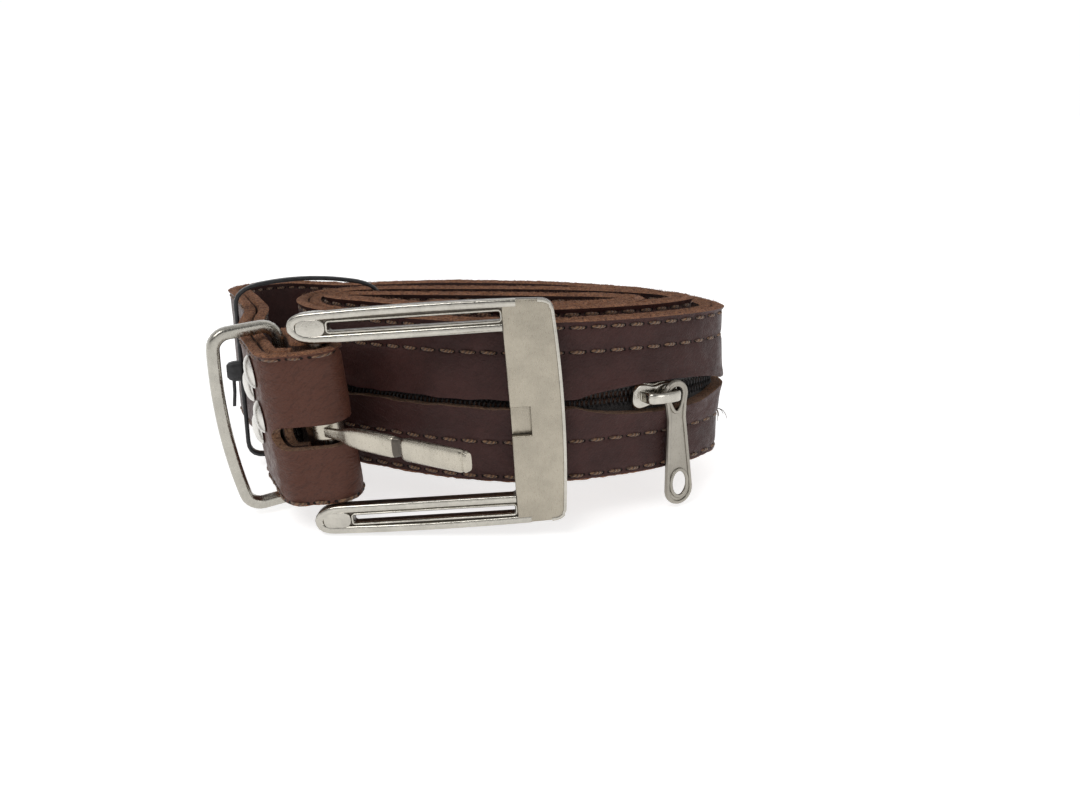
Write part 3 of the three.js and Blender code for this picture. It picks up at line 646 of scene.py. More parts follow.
def strap_edges(along):
    """Lowest and highest height of the strap: pared at the fold, pointed at the tip."""
    pared = (STRAP_WIDTH - FOLD_WIDTH) / 2 * (1 - smoothstep(along, CORNER, LEG_END))
    into_tip = np.clip(along - (ROUTE_LENGTH - TIP_LENGTH), 0, None) / TIP_LENGTH
    inset = pared + 0.72 * MID_HEIGHT * (1 - np.sqrt(np.clip(1 - into_tip ** 2, 0, 1)))
    return inset, STRAP_WIDTH - inset


# Heights of the mesh columns up the strap. They lie closest along the stitch rows and the slit's lips.
LOWER_FRONT = [
    0.45, 0.95, 1.4, 1.85, 3, 5, 7, 8.8, 9.25, 9.7, 10.15, 10.8, 12, 13.2, 14.4, 15.4, 16.2, 16.8, 17.15,
    17.3,
]
UPPER_FRONT = [
    17.7, 17.85, 18.2, 18.8, 19.7, 20.8, 22, 23.5, 25, 27, 29.2, 30.15, 30.6, 31.05, 31.8, 33.5, 35.2,
    35.75, 36.2, 36.65, 37.1, 37.55,
]
EDGE_POINTS = [(0.97, 0.22), (0.8, 0.42), (0.58, 0.46), (0.36, 0.44), (0.15, 0.3)]
UPPER_BACK = [37.3, 35, 30.6, 26, 22, 17.7]
LOWER_BACK = [17.3, 13, 9.7, 5, 0.7]
LIP_ZONE = (12.0, 25.0)


def fit_to_slit(height, along, zipped):
    """Moves the heights between the lips' two zones so that they end on the slit's lips."""
    half = np.maximum(slit_half(along, zipped), 0.2)
    mid = slit_mid(along)
    low_end, high_end = LIP_ZONE
    lower = low_end + (height - low_end) * (mid - half - low_end) / (17.3 - low_end)
    upper = high_end - (high_end - height) * (high_end - mid - half) / (high_end - 17.7)
    moved = np.where(height <= 17.3, lower, upper)
    return np.where((height > low_end) & (height < high_end), moved, height)


def wave(along, height, seed, long_step, tall_step):
    """Smooth noise over the strap, about -1 to 1."""
    along, height = np.broadcast_arrays(along, height)
    places = zip(along.ravel(), height.ravel())
    flat = [noise.noise((a / long_step, h / tall_step, seed)) for a, h in places]
    return np.array(flat).reshape(along.shape)


def face_relief(along, height, zipped):
    """How far the show face stands off its flat surface: stitched grooves, padding and creases."""
    relief = 0.16 * wave(along, height, 3.1, 14, 9) + 0.07 * wave(along, height, 8.7, 3.5, 2.6)
    under_rivets = smoothstep(along, CORNER - 2, CORNER + 2) * (1 - smoothstep(along, LEG_END - 4, LEG_END))
    relief *= 1 - 0.85 * under_rivets
    relief += 0.5 * smoothstep(height, 36.6, 37.6) * (1 - under_rivets)
    for row in EDGE_ROWS:
        relief -= 0.26 * np.exp(-((height - row) / 0.5) ** 2)
    if zipped:
        in_zip = smoothstep(along, ZIP_START - 14, ZIP_START - 4)
        in_zip = in_zip * (1 - smoothstep(along, ZIP_END + 4, ZIP_END + 14))
        for row in ZIP_ROWS:
            relief -= 0.3 * in_zip * np.exp(-((height - row) / 0.55) ** 2)
        between = np.clip((height - ZIP_ROWS[0]) / (ZIP_ROWS[1] - ZIP_ROWS[0]), 0, 1)
        crown = np.sin(np.pi * between) ** 0.7
        to_lip = np.abs(height - slit_mid(along)) - slit_half(along, zipped)
        relief += in_zip * crown * (0.3 + 0.75 * mouth_share(along))
        relief += in_zip * 0.35 * np.exp(-(to_lip / 1.6) ** 2)
        pucker = wave(along, height, 5.5, 5.5, 7)
        relief += in_zip * crown * (0.2 + 0.35 * mouth_share(along)) * pucker
    return relief


def strap_layer(start, end, sign, zipped):
    """One leather layer as a ring of points at each station: front, top edge, back, bottom edge.
    sign is 1 for the show side and -1 for the lining. Returns the stations, the flat places in mm
    and the number of points in the front, in one edge and in the back."""
    stations = np.linspace(start, end, int(end - start) + 1)
    front = np.array(LOWER_FRONT + UPPER_FRONT)
    back = np.array(UPPER_BACK + LOWER_BACK)
    edge = np.array(EDGE_POINTS)
    low, high = (edges[:, None] for edges in strap_edges(stations))
    squeeze = (high - low) / STRAP_WIDTH
    at = stations[:, None]

    front_height = fit_to_slit(front[None, :], at, zipped)
    front_out = FACE + face_relief(at, front_height, zipped)
    back_height = fit_to_slit(back[None, :], at, zipped)
    in_flap = 1 - smoothstep(at, PRONG_SLOT[0] - 3, PRONG_SLOT[0] + 4)
    back_gap = 0.08 + 0.4 * np.sin(np.pi * np.clip(back_height / STRAP_WIDTH, 0, 1)) ** 0.3
    back_out = back_gap + (0.95 - back_gap) * in_flap if sign > 0 else back_gap
    edge_out = back_out[:, :1] + (FACE - 0.05 - back_out[:, :1]) * edge[None, :, 0]
    depth = edge[None, :, 0]
    pits = 0.3 * wave(at, depth * 3, 2.2 * sign, 1.3, 0.9) + 0.14 * wave(at, depth, 4.4, 4, 2)
    top_height = STRAP_WIDTH - 0.5 + edge[None, :, 1] + pits
    bottom_height = 0.5 - edge[None, ::-1, 1] - pits[:, ::-1]
    bottom_out = edge_out[:, ::-1]

    height = np.concatenate([front_height, top_height, back_height, bottom_height], 1)
    outward = np.concatenate([front_out, edge_out, back_out, bottom_out], 1)
    along = np.broadcast_to(at, height.shape)
    real_height = low + height * squeeze
    if sign < 0:
        outward = -outward
    places = np.stack([along, real_height, outward], -1)
    return stations, places, (len(front), len(edge), len(back))


LEATHER_SLOT, EDGE_SLOT, BACK_SLOT, LIP_SLOT = range(4)


def strip_slots(fronts, edges, backs):
    """The material of each strip of faces round a ring."""
    slots = [EDGE_SLOT] * (fronts + edges * 2 + backs)
    slots[:fronts - 1] = [LEATHER_SLOT] * (fronts - 1)
    slots[fronts + edges:fronts + edges + backs - 1] = [BACK_SLOT] * (backs - 1)
    return slots


def slit_walls(here, there, opening, ends_here, ends_there):
    """The slit's two lips between neighbouring rings, and its end walls where it ends."""
    lower_lip, upper_lip, back_upper, back_lower = opening
    walls = [
        (here + back_lower, there + back_lower, there + lower_lip, here + lower_lip),
        (here + upper_lip, there + upper_lip, there + back_upper, here + back_upper),
    ]
    if ends_here:
        walls.append(tuple(here + j for j in opening)[::-1])
    if ends_there:
        walls.append(tuple(there + j for j in opening))
    return walls


def end_caps(start, ring, opening, is_split):
    """Closes an end of the layer, in two halves where the slit runs out of it."""
    lower_lip, upper_lip, back_upper, back_lower = opening
    caps = [tuple(range(ring))]
    if is_split:
        caps = [(*range(lower_lip + 1), *range(back_lower, ring)), tuple(range(upper_lip, back_upper + 1))]
    return [tuple(start + j for j in cap) for cap in caps]


def strap_faces(stations, counts, flip, zipped):
    """Joins the rings, leaving the slit open between its lips and walling its sides."""
    slots_round = strip_slots(*counts)
    ring = len(slots_round)
    lower_lip = len(LOWER_FRONT) - 1
    back_upper = counts[0] + counts[1] + len(UPPER_BACK) - 1
    opening = (lower_lip, lower_lip + 1, back_upper, back_upper + 1)
    is_open = slit_half((stations[:-1] + stations[1:]) / 2, zipped) > 0.02
    faces, slots = [], []
    for i, slit_here in enumerate(is_open):
        here, there = i * ring, (i + 1) * ring
        for j, slot in enumerate(slots_round):
            if slit_here and j in (lower_lip, back_upper):
                continue
            k = (j + 1) % ring
            faces.append((here + j, there + j, there + k, here + k))
            slots.append(slot)
        if slit_here:
            ends_here = i > 0 and not is_open[i - 1]
            ends_there = i < len(is_open) - 1 and not is_open[i + 1]
            walls = slit_walls(here, there, opening, ends_here, ends_there)
            faces += walls
            slots += [LIP_SLOT] * len(walls)
    caps = end_caps(0, ring, opening, is_open[0])
    caps += [cap[::-1] for cap in end_caps(len(is_open) * ring, ring, opening, is_open[-1])]
    faces += caps
    slots += [EDGE_SLOT] * len(caps)
    return [face[::-1] for face in faces] if flip else faces, slots


def make_strap(name, node, start, sign, zipped, front_material):
    stations, places, counts = strap_layer(start, ROUTE_LENGTH, sign, zipped)
    faces, slots = strap_faces(stations, counts, sign > 0, zipped)
    spots = bend(places[..., 0], places[..., 2], places[..., 1])
    mesh = mesh_from(spots, faces, slots)
    store_strap_place(mesh, places)
    materials = [front_material, RAW_EDGE, FLESH_SIDE, CUT_LIP]
    finish_piece(mesh, name, "belt", [node], materials, sharp=62)


# ------------------------------------------------------------------ things set along the strap
def bent_mesh(spots, faces):
    """A mesh whose vertices are given as flat (along, outward, height) places in mm."""
    flat = np.asarray(spots, float)
    mesh = mesh_from(bend(flat[:, 0], flat[:, 1], flat[:, 2]), faces)
    store_strap_place(mesh, flat[:, [0, 2, 1]])
    return mesh


def along_strap(template, faces, places):
    """Repeats a template, given as (along, outward, height) offsets in mm, at each place on the strap."""
    template = np.asarray(template, float)
    places = np.asarray(places, float)
    spots = places[:, None, :] + template[None, :, :]
    count = len(template)
    all_faces = [tuple(i * count + v for v in face) for i in range(len(places)) for face in faces]
    return bent_mesh(spots.reshape(-1, 3), all_faces)


def stitch_template(lift):
    """A dash of thread that rises out of one needle hole and dips into the next."""
    rings = []
    for t in np.linspace(0, 1, 9):
        rise = lift * (math.sin(math.pi * t) ** 0.55 * 0.42 - 0.28)
        thick = 0.2 + 0.19 * math.sin(math.pi * t) ** 0.6
        slant = 0.16 * (t - 0.5)
        rings.append([
            (t * STITCH_LENGTH, rise + lift * thick * 0.75 * math.sin(a), slant + thick * math.cos(a))
            for a in around(6)
        ])
    return tube(rings)


def stitch_places(rows, start, end, outward):
    first = math.ceil(start / STITCH_PITCH)
    last = math.floor((end - STITCH_LENGTH) / STITCH_PITCH)
    places = []
    for row in rows:
        for i in range(first, last + 1):
            jitter = 0.1 * noise.noise((i * 1.7, row, 4))
            places.append((i * STITCH_PITCH + jitter, outward, row + 0.12 * noise.noise((i * 2.3, row, 9))))
    return places


def make_stitches():
    end = ROUTE_LENGTH - TIP_LENGTH
    show = stitch_places(EDGE_ROWS, 1.5, end, FACE - 0.12)
    show += stitch_places(ZIP_ROWS, ZIP_START - 7, ZIP_END + 7, FACE - 0.12)
    lining = stitch_places(EDGE_ROWS, BAR_FRONT + 9, end, -FACE + 0.2)
    for name, places, lift in (("show_side_stitches", show, 1), ("lining_stitches", lining, -1)):
        mesh = along_strap(*stitch_template(lift), places)
        finish_piece(mesh, name, "belt", [], [THREAD])


FIBRES_PER_LAYER = 5000
FIBRES_ON_TOP = 0.72       # the share that stands on the top edge


def make_fibres():
    """Loose leather fibres that stand along the raw top and bottom edges."""
    spots, faces = [], []
    for sign, start in ((1, 1.0), (-1, BAR_FRONT + 6)):
        for _ in range(FIBRES_PER_LAYER):
            along = random.uniform(start, ROUTE_LENGTH - TIP_LENGTH)
            outward = sign * random.uniform(0.3, FACE - 0.1)
            top = random.random() < FIBRES_ON_TOP
            low, high = (float(edge) for edge in strap_edges(along))
            foot = high - 0.1 if top else low + 0.1
            reach = random.uniform(0.2, 0.85) if top else -random.uniform(0.05, 0.2)
            lean_along, lean_out = random.uniform(-0.8, 0.8), random.uniform(-0.35, 0.35)
            base = len(spots)
            for turn in range(3):
                angle = turn * 2 * math.pi / 3
                spots.append((along + 0.045 * math.cos(angle), outward + 0.045 * math.sin(angle), foot))
            spots.append((along + lean_along, outward + lean_out, foot + reach))
            tetrahedron = ((0, 1, 3), (1, 2, 3), (2, 0, 3), (0, 2, 1))
            faces.extend([tuple(base + i for i in face) for face in tetrahedron])
    finish_piece(bent_mesh(spots, faces), "edge_fibres", "belt", [], [CUT_LIP])


def frayed_thread(name, along, height, strands):
    """Loose ends of the sewing thread where a row finishes."""
    shells = []
    for _ in range(strands):
        a = random.uniform(-1.0, 1.0)
        b = random.uniform(0.25, 1.0)
        length = random.uniform(2.4, 5.0)
        rings = []
        for t in np.linspace(0, 1, 7):
            reach = length * t
            x = along + a * reach
            y = FACE + b * reach * (1 - 0.35 * t)
            z = height + (a * 0.9 - 1.1 * t) * reach * 0.6
            thick = 0.13 * (1 - 0.6 * t)
            rings.append([(x, y + thick * math.cos(q), z + thick * math.sin(q)) for q in around(5)])
        shells.append(tube(rings))
    spots, faces, _ = join_shells(shells)
    finish_piece(bent_mesh(spots, faces), name, "belt", [], [LOOSE_THREAD])


# ------------------------------------------------------------------ zip
def strap_tube(start, end, section, step=1.5):
    """A thin strip in the strap, with the given (outward, height) section."""
    stations = np.linspace(start, end, int((end - start) / step) + 1)
    section = np.array(section)
    outward = np.broadcast_to(section[:, 0], (len(stations), len(section)))
    height = np.broadcast_to(section[:, 1], outward.shape)
    along = np.broadcast_to(stations[:, None], outward.shape)
    spots, faces = tube(bend(along, outward, height))
    mesh = mesh_from(spots, faces)
    store_strap_place(mesh, np.stack([along, height, outward], -1))
    return mesh


TAPE_WIDTH, TAPE_FROM_MIDDLE = 10.0, 1.4


def make_zip_tapes():
    for name, side in (("upper", 1), ("lower", -1)):
        middle = SLIT_MID + side * (TAPE_FROM_MIDDLE + TAPE_WIDTH / 2)
        section = [(a, middle + b) for a, b in rounded_section(0.28, TAPE_WIDTH / 2, 8, 16)]
        mesh = strap_tube(ZIP_START - 8, ZIP_END + 8, section)
        finish_piece(mesh, f"woven_tape_{name}", "belt", [f"zip_tape_{name}"], [TAPE_CLOTH])


COIL_PITCH = 1.15


def coil_loop(side):
    """One nylon loop, with a bulge where it locks into the other coil."""
    rings = []
    for turn in around(10):
        centre = (0.34 * math.sin(turn), 0.52 * math.sin(turn), side * (0.85 + math.cos(turn)))
        outward = (0, math.sin(turn), side * math.cos(turn))
        ring = []
        for a in around(5):
            along = 0.2 * (math.cos(a) * outward[0] + math.sin(a))
            ring.append((
                centre[0] + along,
                centre[1] + 0.2 * math.cos(a) * outward[1],
                centre[2] + 0.2 * math.cos(a) * outward[2],
            ))
        rings.append(ring)
    return tube(rings, closed=True)


def make_zip_coils():
    count = int((ZIP_END - ZIP_START - 7) / COIL_PITCH)
    for name, side in (("upper", 1), ("lower", -1)):
        first = ZIP_START + 3.5 + (0 if side > 0 else COIL_PITCH / 2)
        places = [(first + i * COIL_PITCH, 0.1, SLIT_MID + side * 0.1) for i in range(count)]
        mesh = along_strap(*coil_loop(side), places)
        finish_piece(mesh, f"coil_loops_{name}", "belt", [f"zip_coil_{name}"], [COIL_NYLON])


def make_zip_stops():
    for name, start, end, low, high in (
        ("zip_top_stop_upper", ZIP_START - 1, ZIP_START + 2.5, 0.2, 2.1),
        ("zip_top_stop_lower", ZIP_START - 1, ZIP_START + 2.5, -2.1, -0.2),
        ("zip_bottom_stop", ZIP_END - 2.5, ZIP_END + 1, -2.1, 2.1),
    ):
        middle = SLIT_MID + (low + high) / 2
        section = [(a, middle + b) for a, b in rounded_section(0.6, (high - low) / 2, 3, 14)]
        mesh = strap_tube(start, end, section, 0.5)
        finish_piece(mesh, name + "_clamp", "belt", [name], [POLISHED])


def slider_matrix():
    x, y, hx, hy = (float(value) for value in plan(SLIDER_AT))
    frame_here = Matrix(((hx, -hy, 0, x), (hy, hx, 0, y), (0, 0, 1, SLIT_MID), (0, 0, 0, 1)))
    return ROLL @ frame_here


SLIDER = slider_matrix()
CROWN_BACK, CROWN_FRONT, CROWN_LOW, CROWN_HIGH = -7.4, 2.2, 2.6, 6.7


# Half of the slider plate's outline, as (x, distance from its middle line).
SLIDER_HALF = [(-8.2, 1.6), (-7.0, 2.5), (-4.5, 2.75), (-1.5, 2.3), (1.0, 2.9), (3.0, 2.9), (4.3, 1.7)]


def slider_plate():
    """The waisted top plate."""
    border = SLIDER_HALF[::-1] + [(x, -z) for x, z in SLIDER_HALF]
    rounded = [tuple(point) for point in catmull_rom(border + border[:1], 4)]
    return outline_plate([rounded[:-1]], 1.0, 2.7, 0.5)


def slider_flange(side):
    """A flange that curls down over one coil."""
    section = rounded_section(0.75, 0.34, 3, 10)
    rings = []
    for x, z in ((-7.2, 2.35), (-5, 2.7), (-2, 2.35), (0.8, 2.75), (3.2, 2.7)):
        y = 1.0 - 0.35 * math.cos((x + 2) * 0.4)
        rings.append([(x, y + a, side * (z + b)) for a, b in section])
    return tube(rings)


def slider_ridge(i):
    """One ridge across the slider's nose. Each is shorter than the one behind it."""
    x, reach = 2.1 + i * 0.62, 1.9 - i * 0.22
    section = rounded_section(0.17, 0.2, 2, 8)
    rings = []
    for z in np.linspace(-reach, reach, 7):
        rings.append([(x + a, 2.72 - 0.18 * abs(z) + b, z) for a, b in section])
    return tube(rings)


def make_slider_body():
    shells = [slider_plate(), slider_flange(1), slider_flange(-1), *(slider_ridge(i) for i in range(4))]
    hardware("slider_casting", "zip_slider", "zip_slider_body", SLIDER, shells, [POLISHED])


def crown_path():
    """Up the rear foot, forward over the puller's eye and down the front foot."""
    back, front = CROWN_BACK + 0.7, CROWN_FRONT - 0.7
    low, high = CROWN_LOW, CROWN_HIGH - 0.7
    flat = [(back, low), (back, high - 1.2)]
    flat += curve_between((back, high - 1.2), (back, high), (back + 1.6, high), 5)
    for x in np.linspace(back + 2.4, front - 2.2, 5):
        flat.append((x, high + 0.25 * math.sin((x - back) / (front - back) * math.pi)))
    flat += curve_between((front - 1.6, high), (front, high), (front, high - 1.4), 5)
    flat.append((front, low))
    return [(x, y, 0) for x, y in flat]


def make_slider_crown():
    """A low arch along the slider, with a flat section."""
    arch = [sweep(crown_path(), rounded_section(0.68, 1.3, 3.2, 16), (0, 0, 1), closed=False)]
    hardware("slider_crown_arch", "zip_slider", "zip_slider_crown", SLIDER, arch, [POLISHED])


PULLER_LENGTH, PULLER_TOP, PULLER_FOOT, PULLER_THICKNESS = 31.8, 2.6, 4.0, 1.2
PULLER_LEAN = math.radians(5)
PULLER_TIP = PULLER_TOP + 0.9 - PULLER_LENGTH


def puller_border(inset):
    top, side = PULLER_TOP + 0.9 - inset, PULLER_TOP - inset * 0.9
    return (
        arc(0, 0, top, 0, 180, 17)
        + [(-top + 0.5, -2.4), (-side, -6), (-side - 0.3, -10)]
        + arc(0, PULLER_TIP + PULLER_FOOT, PULLER_FOOT - inset, 180, 360, 17)
        + [(side + 0.3, -10), (side, -6), (top - 0.5, -2.4)]
    )


def puller_eye():
    flank = [(2.0, -1.6), (1.35, -3.1)]
    left = [(-x, z) for x, z in flank]
    return arc(0, 0.1, 2.25, 0, 180, 11) + left + arc(0, -3.3, 1.1, 200, 340, 6) + flank[::-1]


def puller_finger_hole():
    return [(2.45 * math.cos(a), PULLER_TIP + 5.6 + 3.5 * math.sin(a)) for a in around(28)]


def make_puller():
    """A tapered plate with a teardrop eye at the top and an oval finger hole, all with raised rims."""
    def turned(points):
        c, s = math.cos(PULLER_LEAN), math.sin(PULLER_LEAN)
        return [(-(c * x - s * z), s * x + c * z) for x, z in points]

    base = 3.0 + (2.3 - PULLER_THICKNESS) / 2
    crest = base + PULLER_THICKNESS - 0.3
    outlines = [turned(outline) for outline in (puller_border(0), puller_eye(), puller_finger_hole())]
    shells = [outline_plate(outlines, base, crest, 0.3)]
    for loop in (puller_border(0.55), puller_eye(), puller_finger_hole()):
        path = [(x, crest, z) for x, z in turned(loop)]
        shells.append(sweep(path, rounded_section(0.45, 0.36, 2.6, 10)))
    pivot = SLIDER @ Matrix.Translation((CROWN_BACK + 0.7, 0, 0))
    hardware("puller_casting", "puller", "zip_puller", pivot, shells, [PULLER_PLATE])


# ------------------------------------------------------------------ buckle
FRAME_LEFT, FRAME_INNER, FRAME_RIGHT, FRAME_BOW = -5.0, 42.2, 53.4, 0.9
FRAME_HALF, OPENING_HALF = 25.6, 18.9
FRAME_FRONT, FRAME_BACK = -5.0, -1.8
ARM_FACE, END_BAR_BACK, BOSS_RADIUS = -4.35, -3.6, 3.1
ARM_ARCH = 0.6
SLOT_LEFT, SLOT_HALF = 4.2, 0.95     # the long slot in each arm
RIM_HALF = 0.95                     # half the width of the raised rim round each arm
# The notch that the prong's tip lies in, from its lower corner at the opening.
NOTCH_LOW, NOTCH_HIGH, NOTCH_DEPTH, NOTCH_FLOOR = -4.8, 1.8, 4.5, -3.25
NOTCH = [
    (FRAME_INNER, NOTCH_LOW), (FRAME_INNER + NOTCH_DEPTH, NOTCH_LOW),
    (FRAME_INNER + NOTCH_DEPTH, NOTCH_HIGH), (FRAME_INNER, NOTCH_HIGH),
]


def arm_middle(side):
    return side * (OPENING_HALF + FRAME_HALF + 0.3) / 2


def frame_outline():
    left, right, half, opening = FRAME_LEFT, FRAME_RIGHT, FRAME_HALF, OPENING_HALF
    corner = 3.5
    middle = (left + right) / 2
    points = [(left + 4, half)]
    points += curve_between((left + 4, half), (middle, half + 2 * ARM_ARCH), (right - corner, half))
    points += curve_between((right - corner, half), (right, half), (right, half - corner), 6)
    points += curve_between((right, half - corner), (right + 2 * FRAME_BOW, 0), (right, -half + corner), 16)
    points += curve_between((right, -half + corner), (right, -half), (right - corner, -half), 6)
    points += curve_between((right - corner, -half), (middle, -half - 2 * ARM_ARCH), (left + 4, -half))
    points += curve_between((left + 4, -half), (left, -half), (left, -half + 3.2), 6)
    points += curve_between((left, -half + 3.2), (left + 1, -opening), (left + 6, -opening), 6)
    points += arc(FRAME_INNER - 1.2, -opening + 1.2, 1.2, 270, 360, 5)
    points += NOTCH
    points += arc(FRAME_INNER - 1.2, opening - 1.2, 1.2, 0, 90, 5)
    points += [(left + 6, opening)]
    points += curve_between((left + 6, opening), (left + 1, opening), (left, half - 3.2), 6)
    points += curve_between((left, half - 3.2), (left, half), (left + 4, half), 6)[:-1]
    return points


def slot_outline(side, grow=0.0):
    middle = arm_middle(side)
    left, right, half = SLOT_LEFT - grow, FRAME_INNER - 0.6 + grow, SLOT_HALF + grow
    return rounded_rectangle(left, middle - half, right, middle + half, 0.5 + grow * 0.6)


def arch_shift(x):
    """How far the arms bow away from the opening between their ends."""
    t = np.clip((x - FRAME_LEFT) / (FRAME_RIGHT - FRAME_LEFT), 0, 1)
    return 2 * ARM_ARCH * 2 * t * (1 - t)


def arm_rim(side):
    """Raised rim round an arm: along its outer edge, round its left end and back along its inner edge."""
    left, half, opening = FRAME_LEFT, FRAME_HALF, OPENING_HALF
    outer = [(x, half - RIM_HALF + arch_shift(x)) for x in np.linspace(FRAME_INNER + 3, left + 4.6, 16)]
    bend_round = curve_between(outer[-1], (left + 0.9, half - 0.9), (left + 1.2, half - 3.4), 5)
    low = opening + RIM_HALF
    bend_round += curve_between(bend_round[-1], (left + 2.4, low), (left + 6.5, low), 5)
    inner = [(x, low) for x in np.linspace(left + 9, FRAME_INNER - 0.2, 12)]
    points = outer + bend_round + inner
    return [(x, side * z) for x, z in points]


def end_bar_outline():
    """The end bar's plain face, with the notch that the prong's tip lies in."""
    left, right, half = FRAME_INNER - 0.15, FRAME_RIGHT - 0.1, FRAME_HALF
    corner, inset = 3.6, half - 0.1
    face = [(left, OPENING_HALF - 1), (left + 0.1, half - 1.2)]
    face += curve_between((left + 0.1, half - 1.2), (left + 0.3, half + 0.1), (left + 2, half + 0.1), 4)
    face += curve_between((left + 2, half + 0.1), (right - 3.9, half), (right - 3.5, inset), 3)
    face += curve_between((right - 3.5, inset), (right, inset), (right, half - corner), 5)
    face += curve_between((right, half - corner), (right + 2 * FRAME_BOW, 0), (right, corner - half), 16)
    face += curve_between((right, corner - half), (right, -inset), (right - 3.5, -inset), 5)
    face += [(left + 2, -half - 0.1)]
    face += curve_between((left + 2, -half - 0.1), (left + 0.3, -half - 0.1), (left + 0.1, 1.2 - half), 4)
    face += [(left, 1 - OPENING_HALF), *NOTCH]
    return face


def arm_shells(side):
    """The raised parts of one arm: its rim, the ring round its slot, its boss and the pad at its end."""
    middle = arm_middle(side)
    rim = [(x, ARM_FACE, z) for x, z in arm_rim(side)]
    ring = [(x, ARM_FACE + 0.05, z) for x, z in slot_outline(side, 0.3)]
    boss_heights = np.linspace(OPENING_HALF + 0.15, FRAME_HALF - 0.4, 4)
    boss = [circle(BOSS_RADIUS, side * z, 24) for z in boss_heights]
    pad = rounded_rectangle(-2.8, middle - 1.9, 3.6, middle + 1.9, 1.6)
    return [
        sweep(rim, rounded_section(RIM_HALF, 0.75, 3, 14), closed=False),
        sweep(ring, rounded_section(0.33, 0.62, 2.6, 12)),
        tube(boss[::side]),
        outline_plate([pad], FRAME_FRONT - 0.02, -4.1, 0.25),
    ]


def end_bar_lip():
    """A thin raised lip along the end bar's top, right side and bottom."""
    path = []
    for x, z in frame_outline():
        if x > FRAME_INNER + NOTCH_DEPTH + 1:
            inner_x = x - 0.35 if abs(z) < FRAME_HALF - 1 else x
            inner_z = z - math.copysign(0.35, z) if abs(z) > FRAME_HALF - 2 else z
            path.append((inner_x, FRAME_FRONT + 0.05, inner_z))
    return sweep(path, rounded_section(0.4, 0.35, 2.4, 10), closed=False)


def make_buckle_frame():
    brushed, antiqued, polished = range(3)
    outlines = [frame_outline(), slot_outline(1), slot_outline(-1)]
    shells = [(*outline_plate(outlines, ARM_FACE, FRAME_BACK, 0.5, 4), antiqued)]
    shells.append((*outline_plate([end_bar_outline()], FRAME_FRONT, END_BAR_BACK, 0.32), brushed))
    shells.append((*outline_plate([NOTCH], NOTCH_FLOOR, FRAME_BACK, 0.1), brushed))
    for side in (1, -1):
        shells += [(*shell, polished) for shell in arm_shells(side)]
    shells.append((*end_bar_lip(), polished))
    plates = [BRUSHED, ANTIQUED, POLISHED]
    hardware("buckle_casting", "buckle", "buckle_frame", BUCKLE, shells, plates, 35)


# The bar's sections, as (height, radius) above the middle. They repeat below it.
BAR_PROFILE = ((0, 1.75), (20, 1.72), (24.3, 1.7), (24.6, 1.2))


def make_buckle_bar():
    below = [(-z, radius) for z, radius in BAR_PROFILE[:0:-1]]
    bar = tube([circle(radius, z, 24) for z, radius in (*below, *BAR_PROFILE)])
    hardware("heel_bar", "buckle", "buckle_bar", BUCKLE, [bar], [POLISHED])


PRONG_OPEN = Matrix.Rotation(math.radians(-35), 4, "Z")
PRONG = BUCKLE @ Matrix.Translation((0, 0, PRONG_MID - MID_HEIGHT)) @ PRONG_OPEN
# The tongue's sections: distance from the bar, front, back, and half width.
PRONG_SECTIONS = [
    (2.2, -2.9, -1.9, 1.2), (5.0, -2.9, -1.9, 1.25), (8.0, -2.95, -1.8, 1.4), (9.4, -3.3, -1.5, 1.8),
    (11.5, -3.6, -1.25, 2.15), (15.0, -3.75, -1.15, 2.35), (24.5, -3.7, -1.15, 2.35),
    (25.6, -3.5, -1.2, 2.2), (26.6, -2.7, -1.3, 1.95), (27.4, -2.7, -1.3, 1.95), (28.3, -3.5, -1.2, 2.2),
    (29.3, -3.75, -1.15, 2.4), (38.0, -3.65, -1.15, 2.35), (44.6, -3.5, -1.15, 2.3),
    (45.0, -3.1, -1.2, 2.15), (45.4, -3.1, -1.2, 2.15), (45.8, -3.4, -1.25, 2.15), (46.4, -3.1, -1.5, 1.8),
]
PRONG_WAIST = (25.9, 28.0)          # the dark groove round the tongue
# The barrel's section, as (radius, height).
BARREL_PROFILE = [(2.15, -2.0), (3.3, -2.0), (3.5, -1.7), (3.5, 1.7), (3.3, 2.0), (2.15, 2.0)]


def prong_tongue():
    tilt = Matrix.Rotation(math.radians(-3), 4, "Z")
    rings = []
    for x, front, back, half in PRONG_SECTIONS:
        middle, deep = (front + back) / 2, (back - front) / 2
        rings.append([tilt @ Vector((x, middle + a, b)) for a, b in rounded_section(deep, half, 3.4, 28)])
    return tube(rings)


def prong_barrel():
    rings = [[(r * math.cos(a), r * math.sin(a), z) for r, z in BARREL_PROFILE] for a in around(28)]
    return tube(rings, closed=True)


def make_prong():
    plates = [PRONG_PLATE, ANTIQUED]
    spots, faces, slots = join_shells([prong_tongue(), prong_barrel()])
    for i, face in enumerate(faces):
        middle = sum(Vector(spots[v]).x for v in face) / len(face)
        if len(face) == 4 and PRONG_WAIST[0] < middle < PRONG_WAIST[1]:
            slots[i] = plates.index(ANTIQUED)
    mesh = mesh_from(placed(spots, PRONG), faces, slots)
    finish_piece(mesh, "prong_casting", "prong", ["buckle_prong"], plates, 30)


# ------------------------------------------------------------------ keeper and rivets
def leg_matrix(along, outward, height):
    """Local X along the leg's outward direction, local Z up, at a place on the leg."""
    x, y = on_leg(along, outward)
    out = Vector((*LEG_OUTWARD, 0))
    side = Vector((0, 0, 1)).cross(out)
    return BUCKLE_END @ Matrix((
        (out.x, side.x, 0, x), (out.y, side.y, 0, y), (0, 0, 1, height), (0, 0, 0, 1),
    ))


